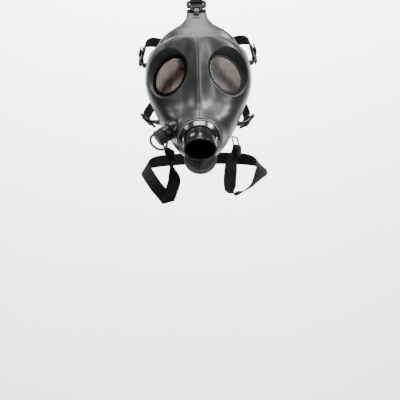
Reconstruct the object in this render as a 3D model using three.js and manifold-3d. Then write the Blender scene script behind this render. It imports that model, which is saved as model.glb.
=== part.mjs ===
// Gas mask style costume mask: a moulded rubber facepiece with two tilted oval lenses, a front port with
// a short spout, a capped side port, a five-strap head harness and a neck strap.
// Millimetres, +Z up, the face looks along -Y, +X is at the viewer's right. The origin is the head's centre.
import * as THREE from 'three';
import { mergeVertices } from 'three/addons/utils/BufferGeometryUtils.js';
import Module from 'manifold-3d';

const wasm = await Module();
wasm.setup();

// Driving sizes of the facepiece
const faceHeight = 250;
const faceHalfWidth = 83.5;
const faceDepth = 140;
const noseRidge = 13;
const noseRidgeWidth = 15;
const rubberWall = 3;
const clearance = 0.3;
const faceColumns = 22;

// Places are given as shares: x of faceHalfWidth, y of faceDepth and z of faceHeight
function onFace(x, y, z) {
  return new THREE.Vector3(x * faceHalfWidth, y * faceDepth, z * faceHeight);
}

// The head that fills the mask: only the straps and the pad follow it
const headCentre = onFace(0, 0.036, 0.08);
const headRadii = onFace(0.934, 0.707, 0.388);

// Eyes
const lensCentre = onFace(0.5186, -0.6786, -0.0428);
const lensLong = 66;
const lensShort = 50;
const lensThickness = 2;
const lensOutward = 22;
const lensUpward = 8;
const lensLean = 35;
const lensLip = 3.5;
const funnelSlope = 32;
const funnelReach = 30;
const lensSides = 24;

// Front port
const portCentre = onFace(0, -0.8857, -0.44);
const portDrop = 28;
const spoutDrop = 51;
const spoutRadius = 25.5;
const spoutWall = 2.5;
const spoutStraight = 20.2;
const spoutBendRadius = 26.6;
const spoutRoot = 10;
const seatDepth = 6;
const seatThickness = 2;
const collarRadius = 31.4;
const collarHeight = 9;
const collarBulge = 0.4;
const bossRadius = 34.5;
const bossLength = 20;
const bossFlare = 6;
const portSides = 26;

// Chin cover
const chinCentre = onFace(0, -0.7, -0.552);
const chinTilt = 35;
const chinRadius = 25.5;
const chinHeight = 25;
const chinRim = 3;
const chinRibs = 6;
const chinSides = 20;
const chinRibDepth = 0.9;

// Side port
const sidePortShare = 0.1735;
const sidePortCentre = onFace(0, -0.7857, -0.376);
sidePortCentre.x = -THREE.MathUtils.lerp(bossRadius, faceHalfWidth, sidePortShare);
const sidePortAxis = new THREE.Vector3(-0.82, -0.2, -0.54).normalize();
const sidePortRadius = 13.2;
const sidePortWall = 2.5;
const sidePortSides = 18;
const sidePortInside = 8;
const sidePortLength = 15;
const sideFlangeWidth = 2;
const sideFlangeLength = 4;
const capLength = 12;
const capRadius = 12.6;
const capRibs = 16;
const capRibDepth = 0.7;
const capBevel = 0.7;
const tetherRadius = 1.9;

// Harness
const strapThickness = 1.5;
const topStrapWidth = 20;
const sideStrapWidth = 16;
const strapLift = 1.8;
const padWidth = 74;
const padHeight = 66;
const padThickness = 3;
const padLift = 1;
const padCentreHeight = 38;
const padEndLift = padLift + padThickness + strapThickness / 2 + 2 * clearance;
const buckleWidth = 29;
const buckleLength = 24;
const buckleThickness = 4;
const buckleBar = 3.6;
const buckleBevel = 0.5;
const buckleCorner = 2.4;
const buckleNeckShare = 0.48;
const tabThickness = 3;

// Neck strap
const neckStrapWidth = 20;
const neckLoopWire = 1.2;
const neckRingWire = 0.7;
const neckLoopCorner = 2.5;
const neckTail = 14;
const neckLeave = 4;

const rubber = { color: 0x4a4a4b, roughness: 0.42, metalness: 0 };
const glossBlack = { color: 0x141415, roughness: 0.12, metalness: 0 };
const mattBlack = { color: 0x161616, roughness: 0.7, metalness: 0 };
const ribbedRubber = { color: 0x3a3331, roughness: 0.6, metalness: 0 };
const webbing = { color: 0x232326, roughness: 0.9, metalness: 0 };
const smokedPlastic = { color: 0x5c5856, roughness: 0.08, metalness: 0, transparent: true, opacity: 0.45 };
const wire = { color: 0x3c3c3e, roughness: 0.3, metalness: 0.8 };

const mask = new THREE.Group();
const degrees = THREE.MathUtils.degToRad;
const mergeDistance = 1e-4;

function vec(x, y, z) {
  return new THREE.Vector3(x, y, z);
}

function addPiece(name, geometry, look, parent = mask) {
  const mesh = new THREE.Mesh(geometry, new THREE.MeshStandardMaterial(look));
  mesh.name = name;
  parent.add(mesh);
  return mesh;
}

function solidOf(geometry) {
  const bare = geometry.clone();
  bare.deleteAttribute('normal');
  bare.deleteAttribute('uv');
  const merged = mergeVertices(bare, mergeDistance);
  const vertProperties = new Float32Array(merged.attributes.position.array);
  const triVerts = new Uint32Array(merged.index.array);
  return new wasm.Manifold(new wasm.Mesh({ numProp: 3, vertProperties, triVerts }));
}

function geometryOf(solid) {
  const mesh = solid.getMesh();
  const geometry = new THREE.BufferGeometry();
  geometry.setAttribute('position', new THREE.BufferAttribute(new Float32Array(mesh.vertProperties), 3));
  geometry.setIndex(new THREE.BufferAttribute(new Uint32Array(mesh.triVerts), 1));
  return geometry;
}

function geometryFrom(points, triangles) {
  const geometry = new THREE.BufferGeometry();
  const flat = points.flatMap((p) => [p.x, p.y, p.z]);
  geometry.setAttribute('position', new THREE.BufferAttribute(new Float32Array(flat), 3));
  geometry.setIndex(triangles);
  return geometry;
}

// A matrix whose local X, Y and Z lie along the given directions
function frameAt(origin, x, y, z) {
  return new THREE.Matrix4().makeBasis(x, y, z).setPosition(origin);
}

// A closed body between two skins of rows by columns, with walls round the four sides
function skinSolid(front, back) {
  const rows = front.length;
  const columns = front[0].length;
  const points = [...front.flat(), ...back.flat()];
  const behind = rows * columns;
  const at = (row, column) => row * columns + column;
  const triangles = [];
  const quad = (a, b, c, d) => triangles.push(a, b, c, a, c, d);
  for (let row = 0; row < rows - 1; row += 1) {
    for (let column = 0; column < columns - 1; column += 1) {
      const corners = [at(row, column), at(row + 1, column), at(row + 1, column + 1), at(row, column + 1)];
      quad(...corners);
      quad(...corners.map((index) => index + behind).reverse());
    }
  }
  const rim = [];
  for (let column = 0; column < columns - 1; column += 1) {
    rim.push(at(0, column));
  }
  for (let row = 0; row < rows - 1; row += 1) {
    rim.push(at(row, columns - 1));
  }
  for (let column = columns - 1; column > 0; column -= 1) {
    rim.push(at(rows - 1, column));
  }
  for (let row = rows - 1; row > 0; row -= 1) {
    rim.push(at(row, 0));
  }
  rim.forEach((a, index) => {
    const b = rim[(index + 1) % rim.length];
    quad(a, b, b + behind, a + behind);
  });
  return geometryFrom(points, triangles);
}

// A closed body through a row of sections with the same number of points, capped or joined end to end
function sweep(sections, closed = false) {
  const sides = sections[0].length;
  const points = sections.flat();
  const triangles = [];
  const spans = closed ? sections.length : sections.length - 1;
  for (let span = 0; span < spans; span += 1) {
    const near = span * sides;
    const far = ((span + 1) % sections.length) * sides;
    for (let side = 0; side < sides; side += 1) {
      const next = (side + 1) % sides;
      triangles.push(near + side, near + next, far + next, near + side, far + next, far + side);
    }
  }
  if (!closed) {
    const last = (sections.length - 1) * sides;
    for (let side = 1; side < sides - 1; side += 1) {
      triangles.push(0, side + 1, side, last, last + side, last + side + 1);
    }
  }
  return geometryFrom(points, triangles);
}

function ellipseSection(matrix, height, radiusX, radiusY, sides) {
  return Array.from({ length: sides }, (_, side) => {
    const angle = (2 * Math.PI * side) / sides;
    return vec(radiusX * Math.cos(angle), radiusY * Math.sin(angle), height).applyMatrix4(matrix);
  });
}

// A cone with an elliptical section; each stop has a height along local Z and two radii
function ellipseCone(matrix, stops, sides) {
  return sweep(stops.map((stop) => ellipseSection(matrix, stop.height, stop.x, stop.y, sides)));
}

// A flat ribbon: each station has a centre and the direction of its width
function ribbon(stations, width, thickness) {
  const sections = stations.map((station, index) => {
    const before = stations[Math.max(index - 1, 0)].at;
    const after = stations[Math.min(index + 1, stations.length - 1)].at;
    const along = after.clone().sub(before).normalize();
    const square = station.across.clone().addScaledVector(along, -station.across.dot(along)).normalize();
    const across = square.lerp(station.across, station.slant ?? 0).normalize();
    const normal = along.clone().cross(across).normalize();
    const corner = (w, t) => station.at.clone().addScaledVector(across, w).addScaledVector(normal, t);
    const half = width / 2 / along.clone().cross(across).length();
    const skin = thickness / 2;
    return [corner(-half, -skin), corner(half, -skin), corner(half, skin), corner(-half, skin)];
  });
  return sweep(sections);
}

// A round wire along a closed loop of points that lie in one plane
function wireLoop(points, planeNormal, radius, sides = 6) {
  const sections = points.map((point, index) => {
    const before = points[(index + points.length - 1) % points.length];
    const after = points[(index + 1) % points.length];
    const along = after.clone().sub(before).normalize();
    const outward = along.clone().cross(planeNormal);
    return Array.from({ length: sides }, (_, side) => {
      const angle = (2 * Math.PI * side) / sides;
      return point.clone().addScaledVector(outward, radius * Math.cos(angle))
        .addScaledVector(planeNormal, -radius * Math.sin(angle));
    });
  });
  return sweep(sections, true);
}

function outward(solidGeometry) {
  return geometryOf(solidOf(solidGeometry));
}

// Facepiece sections, top to chin. height and edge are shares of faceHeight at the middle and at the rim,
// half is a share of faceHalfWidth, depth and rim are shares of faceDepth, full is the section's squareness
// and ridge is a share of noseRidge.
const bandRows = [
  { height: 0.380, edge: 0.378, half: 0.180, depth: 0.414, rim: 0.407, full: 2.0, ridge: 0 },
  { height: 0.344, edge: 0.343, half: 0.192, depth: 0.475, rim: 0.464, full: 2.0, ridge: 0 },
  { height: 0.316, edge: 0.312, half: 0.222, depth: 0.514, rim: 0.500, full: 2.0, ridge: 0 },
  { height: 0.292, edge: 0.280, half: 0.311, depth: 0.546, rim: 0.521, full: 2.0, ridge: 0 },
  { height: 0.272, edge: 0.258, half: 0.431, depth: 0.571, rim: 0.521, full: 2.0, ridge: 0 },
  { height: 0.256, edge: 0.230, half: 0.563, depth: 0.593, rim: 0.500, full: 2.1, ridge: 0 },
  { height: 0.242, edge: 0.192, half: 0.683, depth: 0.607, rim: 0.457, full: 2.2, ridge: 0 },
  { height: 0.228, edge: 0.146, half: 0.766, depth: 0.621, rim: 0.407, full: 2.3, ridge: 0 },
  { height: 0.216, edge: 0.100, half: 0.826, depth: 0.629, rim: 0.357, full: 2.4, ridge: 0 },
];
const bodyRows = [
  { height: 0.218, edge: 0.108, half: 0.910, depth: 0.743, rim: 0.343, full: 2.6, ridge: 0 },
  { height: 0.188, edge: 0.056, half: 0.964, depth: 0.764, rim: 0.279, full: 3.3, ridge: 0.2 },
  { height: 0.120, edge: 0.008, half: 0.988, depth: 0.764, rim: 0.221, full: 4.3, ridge: 0.6 },
  { height: 0.040, edge: -0.040, half: 1.000, depth: 0.764, rim: 0.193, full: 5.0, ridge: 0.9 },
  { height: -0.048, edge: -0.100, half: 0.994, depth: 0.768, rim: 0.179, full: 5.0, ridge: 1 },
  { height: -0.140, edge: -0.172, half: 0.940, depth: 0.775, rim: 0.171, full: 4.3, ridge: 1 },
  { height: -0.208, edge: -0.228, half: 0.868, depth: 0.800, rim: 0.186, full: 3.7, ridge: 0.95 },
  { height: -0.260, edge: -0.276, half: 0.808, depth: 0.850, rim: 0.207, full: 3.3, ridge: 0.8 },
  { height: -0.308, edge: -0.320, half: 0.749, depth: 0.907, rim: 0.236, full: 3.0, ridge: 0.5 },
  { height: -0.352, edge: -0.364, half: 0.683, depth: 0.929, rim: 0.264, full: 2.8, ridge: 0.2 },
  { height: -0.408, edge: -0.412, half: 0.605, depth: 0.900, rim: 0.307, full: 2.7, ridge: 0 },
  { height: -0.468, edge: -0.460, half: 0.515, depth: 0.843, rim: 0.357, full: 2.6, ridge: 0 },
  { height: -0.524, edge: -0.504, half: 0.413, depth: 0.786, rim: 0.414, full: 2.5, ridge: 0 },
  { height: -0.568, edge: -0.536, half: 0.311, depth: 0.721, rim: 0.464, full: 2.4, ridge: 0 },
  { height: -0.600, edge: -0.560, half: 0.204, depth: 0.643, rim: 0.507, full: 2.2, ridge: 0 },
  { height: -0.616, edge: -0.572, half: 0.108, depth: 0.579, rim: 0.536, full: 2.0, ridge: 0 },
];
const crestFall = 2.2;

// One point of a section, at an angle from the middle (0) to the rims (-90 and 90 degrees)
function sectionPoint(row, angle) {
  const sine = Math.sin(angle);
  const cosine = Math.cos(angle);
  const reach = (Math.abs(sine) ** row.full + Math.abs(cosine) ** row.full) ** (-1 / row.full);
  const x = faceHalfWidth * row.half * reach * sine;
  const ridge = noseRidge * row.ridge * Math.exp(-((x / noseRidgeWidth) ** 2));
  const depth = faceDepth * (row.rim + (row.depth - row.rim) * reach * cosine) + ridge;
  const fall = Math.abs(reach * sine) ** crestFall;
  const z = faceHeight * (row.height + (row.edge - row.height) * fall);
  return vec(x, -depth, z);
}

// A section between two rows of a table, on a smooth curve through its neighbours
function blendRows(rows, place) {
  const last = rows.length - 1;
  const low = Math.min(Math.floor(place), last - 1);
  const t = place - low;
  const pick = (index) => rows[Math.max(0, Math.min(last, index))];
  const [a, b, c, d] = [pick(low - 1), pick(low), pick(low + 1), pick(low + 2)];
  const blended = {};
  for (const key of Object.keys(rows[0])) {
    const bend = 2 * a[key] - 5 * b[key] + 4 * c[key] - d[key];
    const turn = 3 * (b[key] - c[key]) + d[key] - a[key];
    blended[key] = b[key] + 0.5 * t * (c[key] - a[key] + t * (bend + t * turn));
  }
  return blended;
}

function tableSections(rows, steps) {
  const count = (rows.length - 1) * steps;
  return Array.from({ length: count + 1 }, (_, index) => blendRows(rows, index / steps));
}

const chinStart = 10;
const faceSections = [
  ...tableSections(bandRows, 1),
  ...tableSections(bodyRows, 2).filter((_, index) => index < 2 * chinStart || index % 2 === 0),
];
const faceGrid = faceSections.map((row) => Array.from({ length: faceColumns + 1 }, (_, column) => {
  const angle = Math.PI * (column / faceColumns - 0.5);
  return sectionPoint(row, angle);
}));

// The same grid moved along its own normals, outwards for a positive distance
function offsetGrid(grid, distance) {
  const rows = grid.length;
  const columns = grid[0].length;
  return grid.map((line, row) => line.map((point, column) => {
    const up = grid[Math.max(row - 1, 0)][column];
    const down = grid[Math.min(row + 1, rows - 1)][column];
    const left = line[Math.max(column - 1, 0)];
    const right = line[Math.min(column + 1, columns - 1)];
    const normal = right.clone().sub(left).cross(up.clone().sub(down)).normalize();
    return point.clone().addScaledVector(normal, distance);
  }));
}

// The whole space behind the face, for trimming pieces that lie against it
const coreShare = 0.2;
const coreDepth = -20;
function filledFace(distance) {
  const front = offsetGrid(faceGrid, distance);
  const core = faceGrid.map((line) => line.map((point) => {
    const y = THREE.MathUtils.lerp(coreDepth, point.y, coreShare);
    return vec(coreShare * point.x, y, point.z);
  }));
  return solidOf(skinSolid(front, core));
}

// Frame of one eye: local X along the lens's short axis, Y along its long axis, Z out of the mask
function lensFrame(side) {
  const outwardTurn = degrees(lensOutward);
  const upTurn = degrees(lensUpward);
  const normal = vec(side * Math.sin(outwardTurn) * Math.cos(upTurn),
    -Math.cos(outwardTurn) * Math.cos(upTurn), Math.sin(upTurn));
  const long = vec(-side * Math.sin(degrees(lensLean)), 0, Math.cos(degrees(lensLean)));
  long.addScaledVector(normal, -long.dot(normal)).normalize();
  const short = long.clone().cross(normal);
  const origin = vec(side * lensCentre.x, lensCentre.y, lensCentre.z);
  return frameAt(origin, short, long, normal);
}

function eyeCone(side, from, to, grow, slope) {
  const stop = (height) => ({
    height,
    x: lensShort / 2 + grow + Math.max(height, 0) * slope,
    y: lensLong / 2 + grow + Math.max(height, 0) * slope,
  });
  const stops = from < 0 && to > 0 ? [stop(from), stop(0), stop(to)] : [stop(from), stop(to)];
  return solidOf(ellipseCone(lensFrame(side), stops, lensSides));
}

// Frame of the front port: local Y runs out of the port, along its axis
const portTurn = new THREE.Group();
portTurn.position.copy(portCentre);
portTurn.rotation.x = Math.PI + degrees(portDrop);
portTurn.updateMatrix();
mask.add(portTurn);

function ring(profile, sides) {
  const points = profile.map(([radius, height]) => new THREE.Vector2(radius, height));
  return new THREE.LatheGeometry(points, sides);
}

function portSolid(profile) {
  return solidOf(ring(profile, portSides).applyMatrix4(portTurn.matrix));
}

// Each harness strap: its buckle's foot, the way the buckle points, a point over the head and the pad end,
// and where its rubber tab leaves the facepiece. Places are shares of the face's sizes, as in onFace.
const strapRows = [
  { name: 'top', foot: [0, -0.472, 0.362], away: [0, 0.66, 0.75], over: [0, 0.143, 0.44],
    end: [0, 0.664, 0.24], width: topStrapWidth },
  { name: 'temple_left', foot: [-1.072, -0.25, 0.06], away: [0.06, 0.66, 0.75],
    over: [-0.91, 0.214, 0.224], end: [-0.323, 0.629, 0.18], width: sideStrapWidth, tab: [-0.952, -0.321, 0.04] },
  { name: 'temple_right', foot: [1.072, -0.25, 0.06], away: [-0.06, 0.66, 0.75],
    over: [0.91, 0.214, 0.224], end: [0.323, 0.629, 0.18], width: sideStrapWidth, tab: [0.952, -0.321, 0.04] },
  { name: 'jaw_left', foot: [-0.934, -0.243, -0.316], away: [-0.2, 0.9, 0.25],
    over: [-0.838, 0.321, -0.152], end: [-0.263, 0.657, 0.064], width: sideStrapWidth, tab: [-0.731, -0.293, -0.32] },
  { name: 'jaw_right', foot: [0.886, -0.243, -0.34], away: [0.1, 0.9, 0.3],
    over: [0.838, 0.321, -0.152], end: [0.263, 0.657, 0.064], width: sideStrapWidth, tab: [0.707, -0.307, -0.34] },
];
const tabWidth = 12;
const tabReach = 7;
const tabDip = 1.4;
const lugRadius = 4;
// Each lug hangs from a place on the face; its eye is a few lug radii away from there
const leftLug = lugRow(onFace(-0.593, -0.386, -0.4), [-0.5, -1, -2.625], [1, 0, 0]);
const rightLug = lugRow(onFace(0.587, -0.357, -0.404), [1.25, -1.25, -1.25], [-0.35, -0.93, 0]);
const lugThickness = 2;
const lugHole = 2.3;

function asVector(triple) {
  return vec(...triple);
}

function lugRow(top, offset, axis) {
  return { top, eye: top.clone().addScaledVector(asVector(offset), lugRadius), axis: asVector(axis) };
}

// The buckle's own directions: across the strap, towards the strap and away from the head
function buckleAxes(row) {
  const foot = onFace(...row.foot);
  const away = asVector(row.away).normalize();
  const fromHead = foot.clone().sub(headCentre);
  const normal = fromHead.addScaledVector(away, -fromHead.dot(away)).normalize();
  return { foot, away, normal, across: away.clone().cross(normal) };
}

function tabSolid(row) {
  const { foot, away, normal, across } = buckleAxes(row);
  const under = buckleThickness / 2 + clearance + tabThickness / 2;
  const to = foot.clone().addScaledVector(away, tabReach).addScaledVector(normal, -under - clearance);
  const middle = foot.clone().addScaledVector(away, -tabReach / 4).addScaledVector(normal, -under - tabDip);
  const stations = [onFace(...row.tab), middle, to].map((at) => ({ at, across }));
  return solidOf(ribbon(stations, tabWidth, tabThickness));
}

function lugFrame(row) {
  const down = row.eye.clone().sub(row.top).normalize();
  const axis = row.axis.clone().addScaledVector(down, -down.dot(row.axis)).normalize();
  return frameAt(row.eye, down.clone().cross(axis), down, axis);
}

function lugSolid(row) {
  const frame = lugFrame(row);
  const reach = row.eye.distanceTo(row.top);
  const outline = new THREE.Shape();
  outline.moveTo(-lugRadius, -reach);
  outline.lineTo(lugRadius, -reach);
  outline.absarc(0, 0, lugRadius, 0, Math.PI, false);
  outline.closePath();
  const hole = new THREE.Path();
  hole.absarc(0, 0, lugHole, 0, 2 * Math.PI, true);
  outline.holes.push(hole);
  const plate = new THREE.ExtrudeGeometry(outline, { depth: lugThickness, bevelEnabled: false, curveSegments: 6 });
  plate.translate(0, 0, -lugThickness / 2);
  return solidOf(plate.applyMatrix4(frame));
}

function sideFrame() {
  const up = vec(0, 0, 1).addScaledVector(sidePortAxis, -sidePortAxis.z).normalize();
  return frameAt(sidePortCentre, up.clone().cross(sidePortAxis), up, sidePortAxis);
}

function sideCylinder(from, to, radius) {
  const stops = [from, to].map((height) => ({ height, x: radius, y: radius }));
  return solidOf(ellipseCone(sideFrame(), stops, sidePortSides));
}

// The port's boss on the facepiece, grown by a distance
function bossSolid(distance) {
  const root = bossRadius + bossFlare + distance;
  return portSolid([[0, -bossLength], [root, -bossLength], [bossRadius + distance, distance], [0, distance]]);
}

function faceOutside(distance) {
  return filledFace(distance).add(bossSolid(distance));
}

function facePiece() {
  const shell = solidOf(skinSolid(faceGrid, offsetGrid(faceGrid, -rubberWall)));
  const whole = filledFace(-rubberWall / 2);
  let face = shell;
  for (const side of [-1, 1]) {
    const slope = Math.tan(degrees(funnelSlope));
    const cup = eyeCone(side, -rubberWall, funnelReach, clearance + rubberWall, slope).intersect(whole);
    face = face.add(cup);
    face = face.subtract(eyeCone(side, 0, funnelReach, clearance, slope));
    face = face.subtract(eyeCone(side, -2 * rubberWall, 1, -lensLip, 0));
  }
  face = face.add(bossSolid(0));
  const root = bossRadius + bossFlare - rubberWall;
  face = face.subtract(portSolid([[0, -2 * bossLength], [root, -2 * bossLength], [root, -bossLength],
    [bossRadius - rubberWall, -rubberWall], [0, -rubberWall]]));
  const bore = spoutRadius + clearance;
  face = face.subtract(portSolid([[0, -bossLength], [bore, -bossLength], [bore, 1], [0, 1]]));
  for (const row of strapRows.filter((strap) => strap.tab)) {
    face = face.add(tabSolid(row));
  }
  for (const row of [leftLug, rightLug]) {
    face = face.add(lugSolid(row));
  }
  return face.subtract(sideCylinder(-2 * sidePortLength, sidePortLength, sidePortRadius + clearance));
}

// Eyes: each lens lies on the floor ring of its funnel
function addLenses() {
  for (const [name, side] of [['lens_left', -1], ['lens_right', 1]]) {
    const outline = new THREE.Shape();
    outline.absellipse(0, 0, lensShort / 2, lensLong / 2, 0, 2 * Math.PI, false);
    const plate = new THREE.ExtrudeGeometry(outline, {
      depth: lensThickness, bevelEnabled: false, curveSegments: lensSides,
    });
    plate.translate(0, 0, clearance);
    const lens = addPiece(name, plate, smokedPlastic);
    lens.applyMatrix4(lensFrame(side));
  }
}

// Front port: collar, spout and the plain seat inside it
const collarProfile = [
  [spoutRadius + clearance, clearance],
  [collarRadius, clearance],
  [collarRadius + collarBulge, 0.24 * collarHeight],
  [collarRadius, 0.47 * collarHeight],
  [collarRadius - 3 * collarBulge, 0.6 * collarHeight],
  [spoutRadius + 6 * collarBulge, collarHeight],
  [spoutRadius + 3 * collarBulge, collarHeight],
  [spoutRadius + clearance, 0.83 * collarHeight],
  [spoutRadius + clearance, clearance],
];

function spoutSections(radius, from, beyond) {
  const turn = degrees(spoutDrop - portDrop);
  const steps = 3;
  const stations = [{ h: from, u: 0, angle: 0 }, { h: spoutStraight, u: 0, angle: 0 }];
  for (let step = 1; step <= steps; step += 1) {
    const angle = (turn * step) / steps;
    stations.push({
      h: spoutStraight + spoutBendRadius * Math.sin(angle),
      u: -spoutBendRadius * (1 - Math.cos(angle)),
      angle,
    });
  }
  const end = stations[stations.length - 1];
  stations.push({
    h: end.h + beyond * Math.cos(turn),
    u: end.u - beyond * Math.sin(turn),
    angle: turn,
  });
  return stations.map((station) => Array.from({ length: portSides }, (_, side) => {
    const around = (2 * Math.PI * side) / portSides;
    const across = radius * Math.cos(around);
    const rise = radius * Math.sin(around);
    const height = station.h + rise * Math.sin(station.angle);
    return vec(across, height, -(station.u + rise * Math.cos(station.angle)));
  }));
}

function addPort() {
  addPiece('port_collar', ring(collarProfile, portSides), glossBlack, portTurn);
  const lip = 1;
  const outer = solidOf(sweep(spoutSections(spoutRadius, -spoutRoot, lip)));
  const bore = solidOf(sweep(spoutSections(spoutRadius - spoutWall, -2 * spoutRoot, 3 * lip)));
  addPiece('port_spout', geometryOf(outer.subtract(bore)), glossBlack, portTurn);
  const seatRadius = spoutRadius - spoutWall - clearance;
  const seat = new THREE.CylinderGeometry(seatRadius, seatRadius, seatThickness, portSides);
  addPiece('port_seat', seat, mattBlack, portTurn).position.y = -seatDepth;
}

// Chin cover: a dome with ribs in rings round its pole
function chinProfile() {
  const profile = [[0, 0], [chinRadius, 0], [chinRadius, chinRim]];
  const steps = 2 * chinRibs;
  for (let step = 1; step < steps; step += 1) {
    const angle = (Math.PI / 2) * (step / steps);
    const groove = step % 2 === 1 ? chinRibDepth : 0;
    const radius = (chinRadius - groove) * Math.cos(angle);
    profile.push([radius, chinRim + (chinHeight - chinRim - groove) * Math.sin(angle)]);
  }
  profile.push([0, chinHeight]);
  return profile;
}

function addChinCover() {
  const turn = new THREE.Matrix4().makeRotationX(Math.PI + degrees(90 - chinTilt));
  turn.setPosition(chinCentre);
  const dome = solidOf(ring(chinProfile(), chinSides).applyMatrix4(turn));
  const collar = collarRadius + collarBulge + clearance;
  const mouth = spoutRadius + clearance;
  const port = portSolid([[0, -clearance], [collar, -clearance], [collar, collarHeight + clearance],
    [mouth, collarHeight + clearance], [mouth, 2 * spoutStraight], [0, 2 * spoutStraight]]);
  addPiece('chin_cover', geometryOf(dome.subtract(faceOutside(clearance)).subtract(port)), ribbedRubber);
}

// Side port on the cheek
function capOutline() {
  const outline = new THREE.Shape();
  for (let rib = 0; rib < 2 * capRibs; rib += 1) {
    const angle = (Math.PI * rib) / capRibs;
    const radius = rib % 2 === 0 ? capRadius : capRadius - capRibDepth;
    const point = [radius * Math.cos(angle), radius * Math.sin(angle)];
    if (rib === 0) {
      outline.moveTo(...point);
    } else {
      outline.lineTo(...point);
    }
  }
  outline.closePath();
  return outline;
}

function addSidePort() {
  const flange = sidePortRadius + clearance + sideFlangeWidth;
  const bore = sideCylinder(-4 * sideFlangeLength, sidePortLength, sidePortRadius + clearance);
  const base = sideCylinder(-3 * sideFlangeLength, sideFlangeLength, flange);
  const seated = base.subtract(bore).subtract(faceOutside(clearance));
  addPiece('side_port_base', geometryOf(seated), glossBlack);
  const tube = sideCylinder(-sidePortInside, sidePortLength, sidePortRadius);
  const hollow = sideCylinder(-2 * sidePortInside, 2 * sidePortLength, sidePortRadius - sidePortWall);
  addPiece('side_port_body', geometryOf(tube.subtract(hollow)), glossBlack);
  const cap = new THREE.ExtrudeGeometry(capOutline(), {
    depth: capLength - 2 * capBevel, bevelEnabled: true, bevelThickness: capBevel, bevelSize: capBevel,
    bevelOffset: -capBevel, bevelSegments: 1,
  });
  cap.translate(0, 0, sidePortLength + clearance + capBevel);
  addPiece('side_port_cap', cap, mattBlack).applyMatrix4(sideFrame());
}

// Cap tether: a thin cord from the cap's end, round below the port and up to its tube. Its points are
// cap radii away from the side port's centre.
const tetherRows = [
  [-2.167, -0.532, -0.579],
  [-2.397, -0.571, -0.746],
  [-2.571, -0.556, -1.048],
  [-2.571, -0.46, -1.413],
  [-2.349, -0.286, -1.857],
  [-1.889, -0.063, -2.238],
  [-1.365, 0.159, -2.413],
  [-0.921, 0.437, -2.286],
  [-0.683, 0.794, -1.984],
  [-0.627, 1.079, -1.571],
  [-0.683, 1.063, -1.19],
  [-0.722, 0.778, -0.976],
];
const tetherRoute = tetherRows.map((row) => sidePortCentre.clone().addScaledVector(vec(...row), capRadius));

function addTether() {
  const sides = 8;
  const outline = new THREE.Shape();
  for (let side = 0; side < sides; side += 1) {
    const angle = (2 * Math.PI * side) / sides;
    const point = [tetherRadius * Math.cos(angle), tetherRadius * Math.sin(angle)];
    if (side === 0) {
      outline.moveTo(...point);
    } else {
      outline.lineTo(...point);
    }
  }
  outline.closePath();
  const extrudePath = new THREE.CatmullRomCurve3(tetherRoute);
  addPiece('cap_tether', new THREE.ExtrudeGeometry(outline, { steps: 18, extrudePath }), mattBlack);
}

// Head harness
function onHead(direction, lift) {
  const stretched = direction.clone().divide(headRadii);
  const point = direction.clone().divideScalar(stretched.length());
  const normal = point.clone().divide(headRadii).divide(headRadii).normalize();
  return { at: point.add(headCentre).addScaledVector(normal, lift), normal };
}

// A slotted buckle in its own frame: X across the strap, Y towards the strap, Z away from the head
function buckleGeometry() {
  const half = buckleWidth / 2;
  const neck = half * buckleNeckShare;
  const corner = buckleCorner;
  const waist = neck * 1.25;
  const waistHeight = buckleLength * 0.28;
  const shoulder = buckleLength * 0.42;
  const outline = new THREE.Shape();
  outline.moveTo(-neck + corner, 0);
  outline.lineTo(neck - corner, 0);
  outline.lineTo(neck, corner);
  outline.lineTo(waist, waistHeight);
  outline.lineTo(half, shoulder);
  outline.lineTo(half, buckleLength - corner);
  outline.lineTo(half - corner, buckleLength);
  outline.lineTo(-half + corner, buckleLength);
  outline.lineTo(-half, buckleLength - corner);
  outline.lineTo(-half, shoulder);
  outline.lineTo(-waist, waistHeight);
  outline.lineTo(-neck, corner);
  outline.closePath();
  const slot = (halfWidth, low, high) => {
    const path = new THREE.Path();
    path.moveTo(-halfWidth, low);
    path.lineTo(-halfWidth, high);
    path.lineTo(halfWidth, high);
    path.lineTo(halfWidth, low);
    path.closePath();
    outline.holes.push(path);
  };
  slot(neck * 0.6, buckleLength * 0.13, buckleLength * 0.3);
  slot(half - buckleBar, buckleLength * 0.44, buckleLength * 0.58);
  slot(half - buckleBar, buckleLength * 0.67, buckleLength - buckleBar);
  const depth = buckleThickness - 2 * buckleBevel;
  const geometry = new THREE.ExtrudeGeometry(outline, {
    depth, bevelEnabled: true, bevelThickness: buckleBevel, bevelSize: buckleBevel, bevelOffset: -buckleBevel,
    bevelSegments: 1,
  });
  return geometry.translate(0, 0, -depth / 2);
}

const wrapSlack = 0.4;
const wrapRadius = buckleThickness / 2 + clearance + strapThickness / 2 + wrapSlack;
const strapTailShare = 0.6;
const strapLeave = 6;
const strapRun = 14;
const strapStations = 16;

// Strap end folded over a buckle's bar: the tail lies on the outside, the strap leaves on the inside
function barWrap(bar, away, normal, across, tail) {
  const stations = [{ at: bar.clone().addScaledVector(away, tail).addScaledVector(normal, wrapRadius), across }];
  const steps = 6;
  for (let step = 0; step <= steps; step += 1) {
    const angle = (Math.PI * step) / steps;
    const at = bar.clone().addScaledVector(normal, wrapRadius * Math.cos(angle))
      .addScaledVector(away, -wrapRadius * Math.sin(angle));
    stations.push({ at, across });
  }
  return stations;
}

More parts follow.
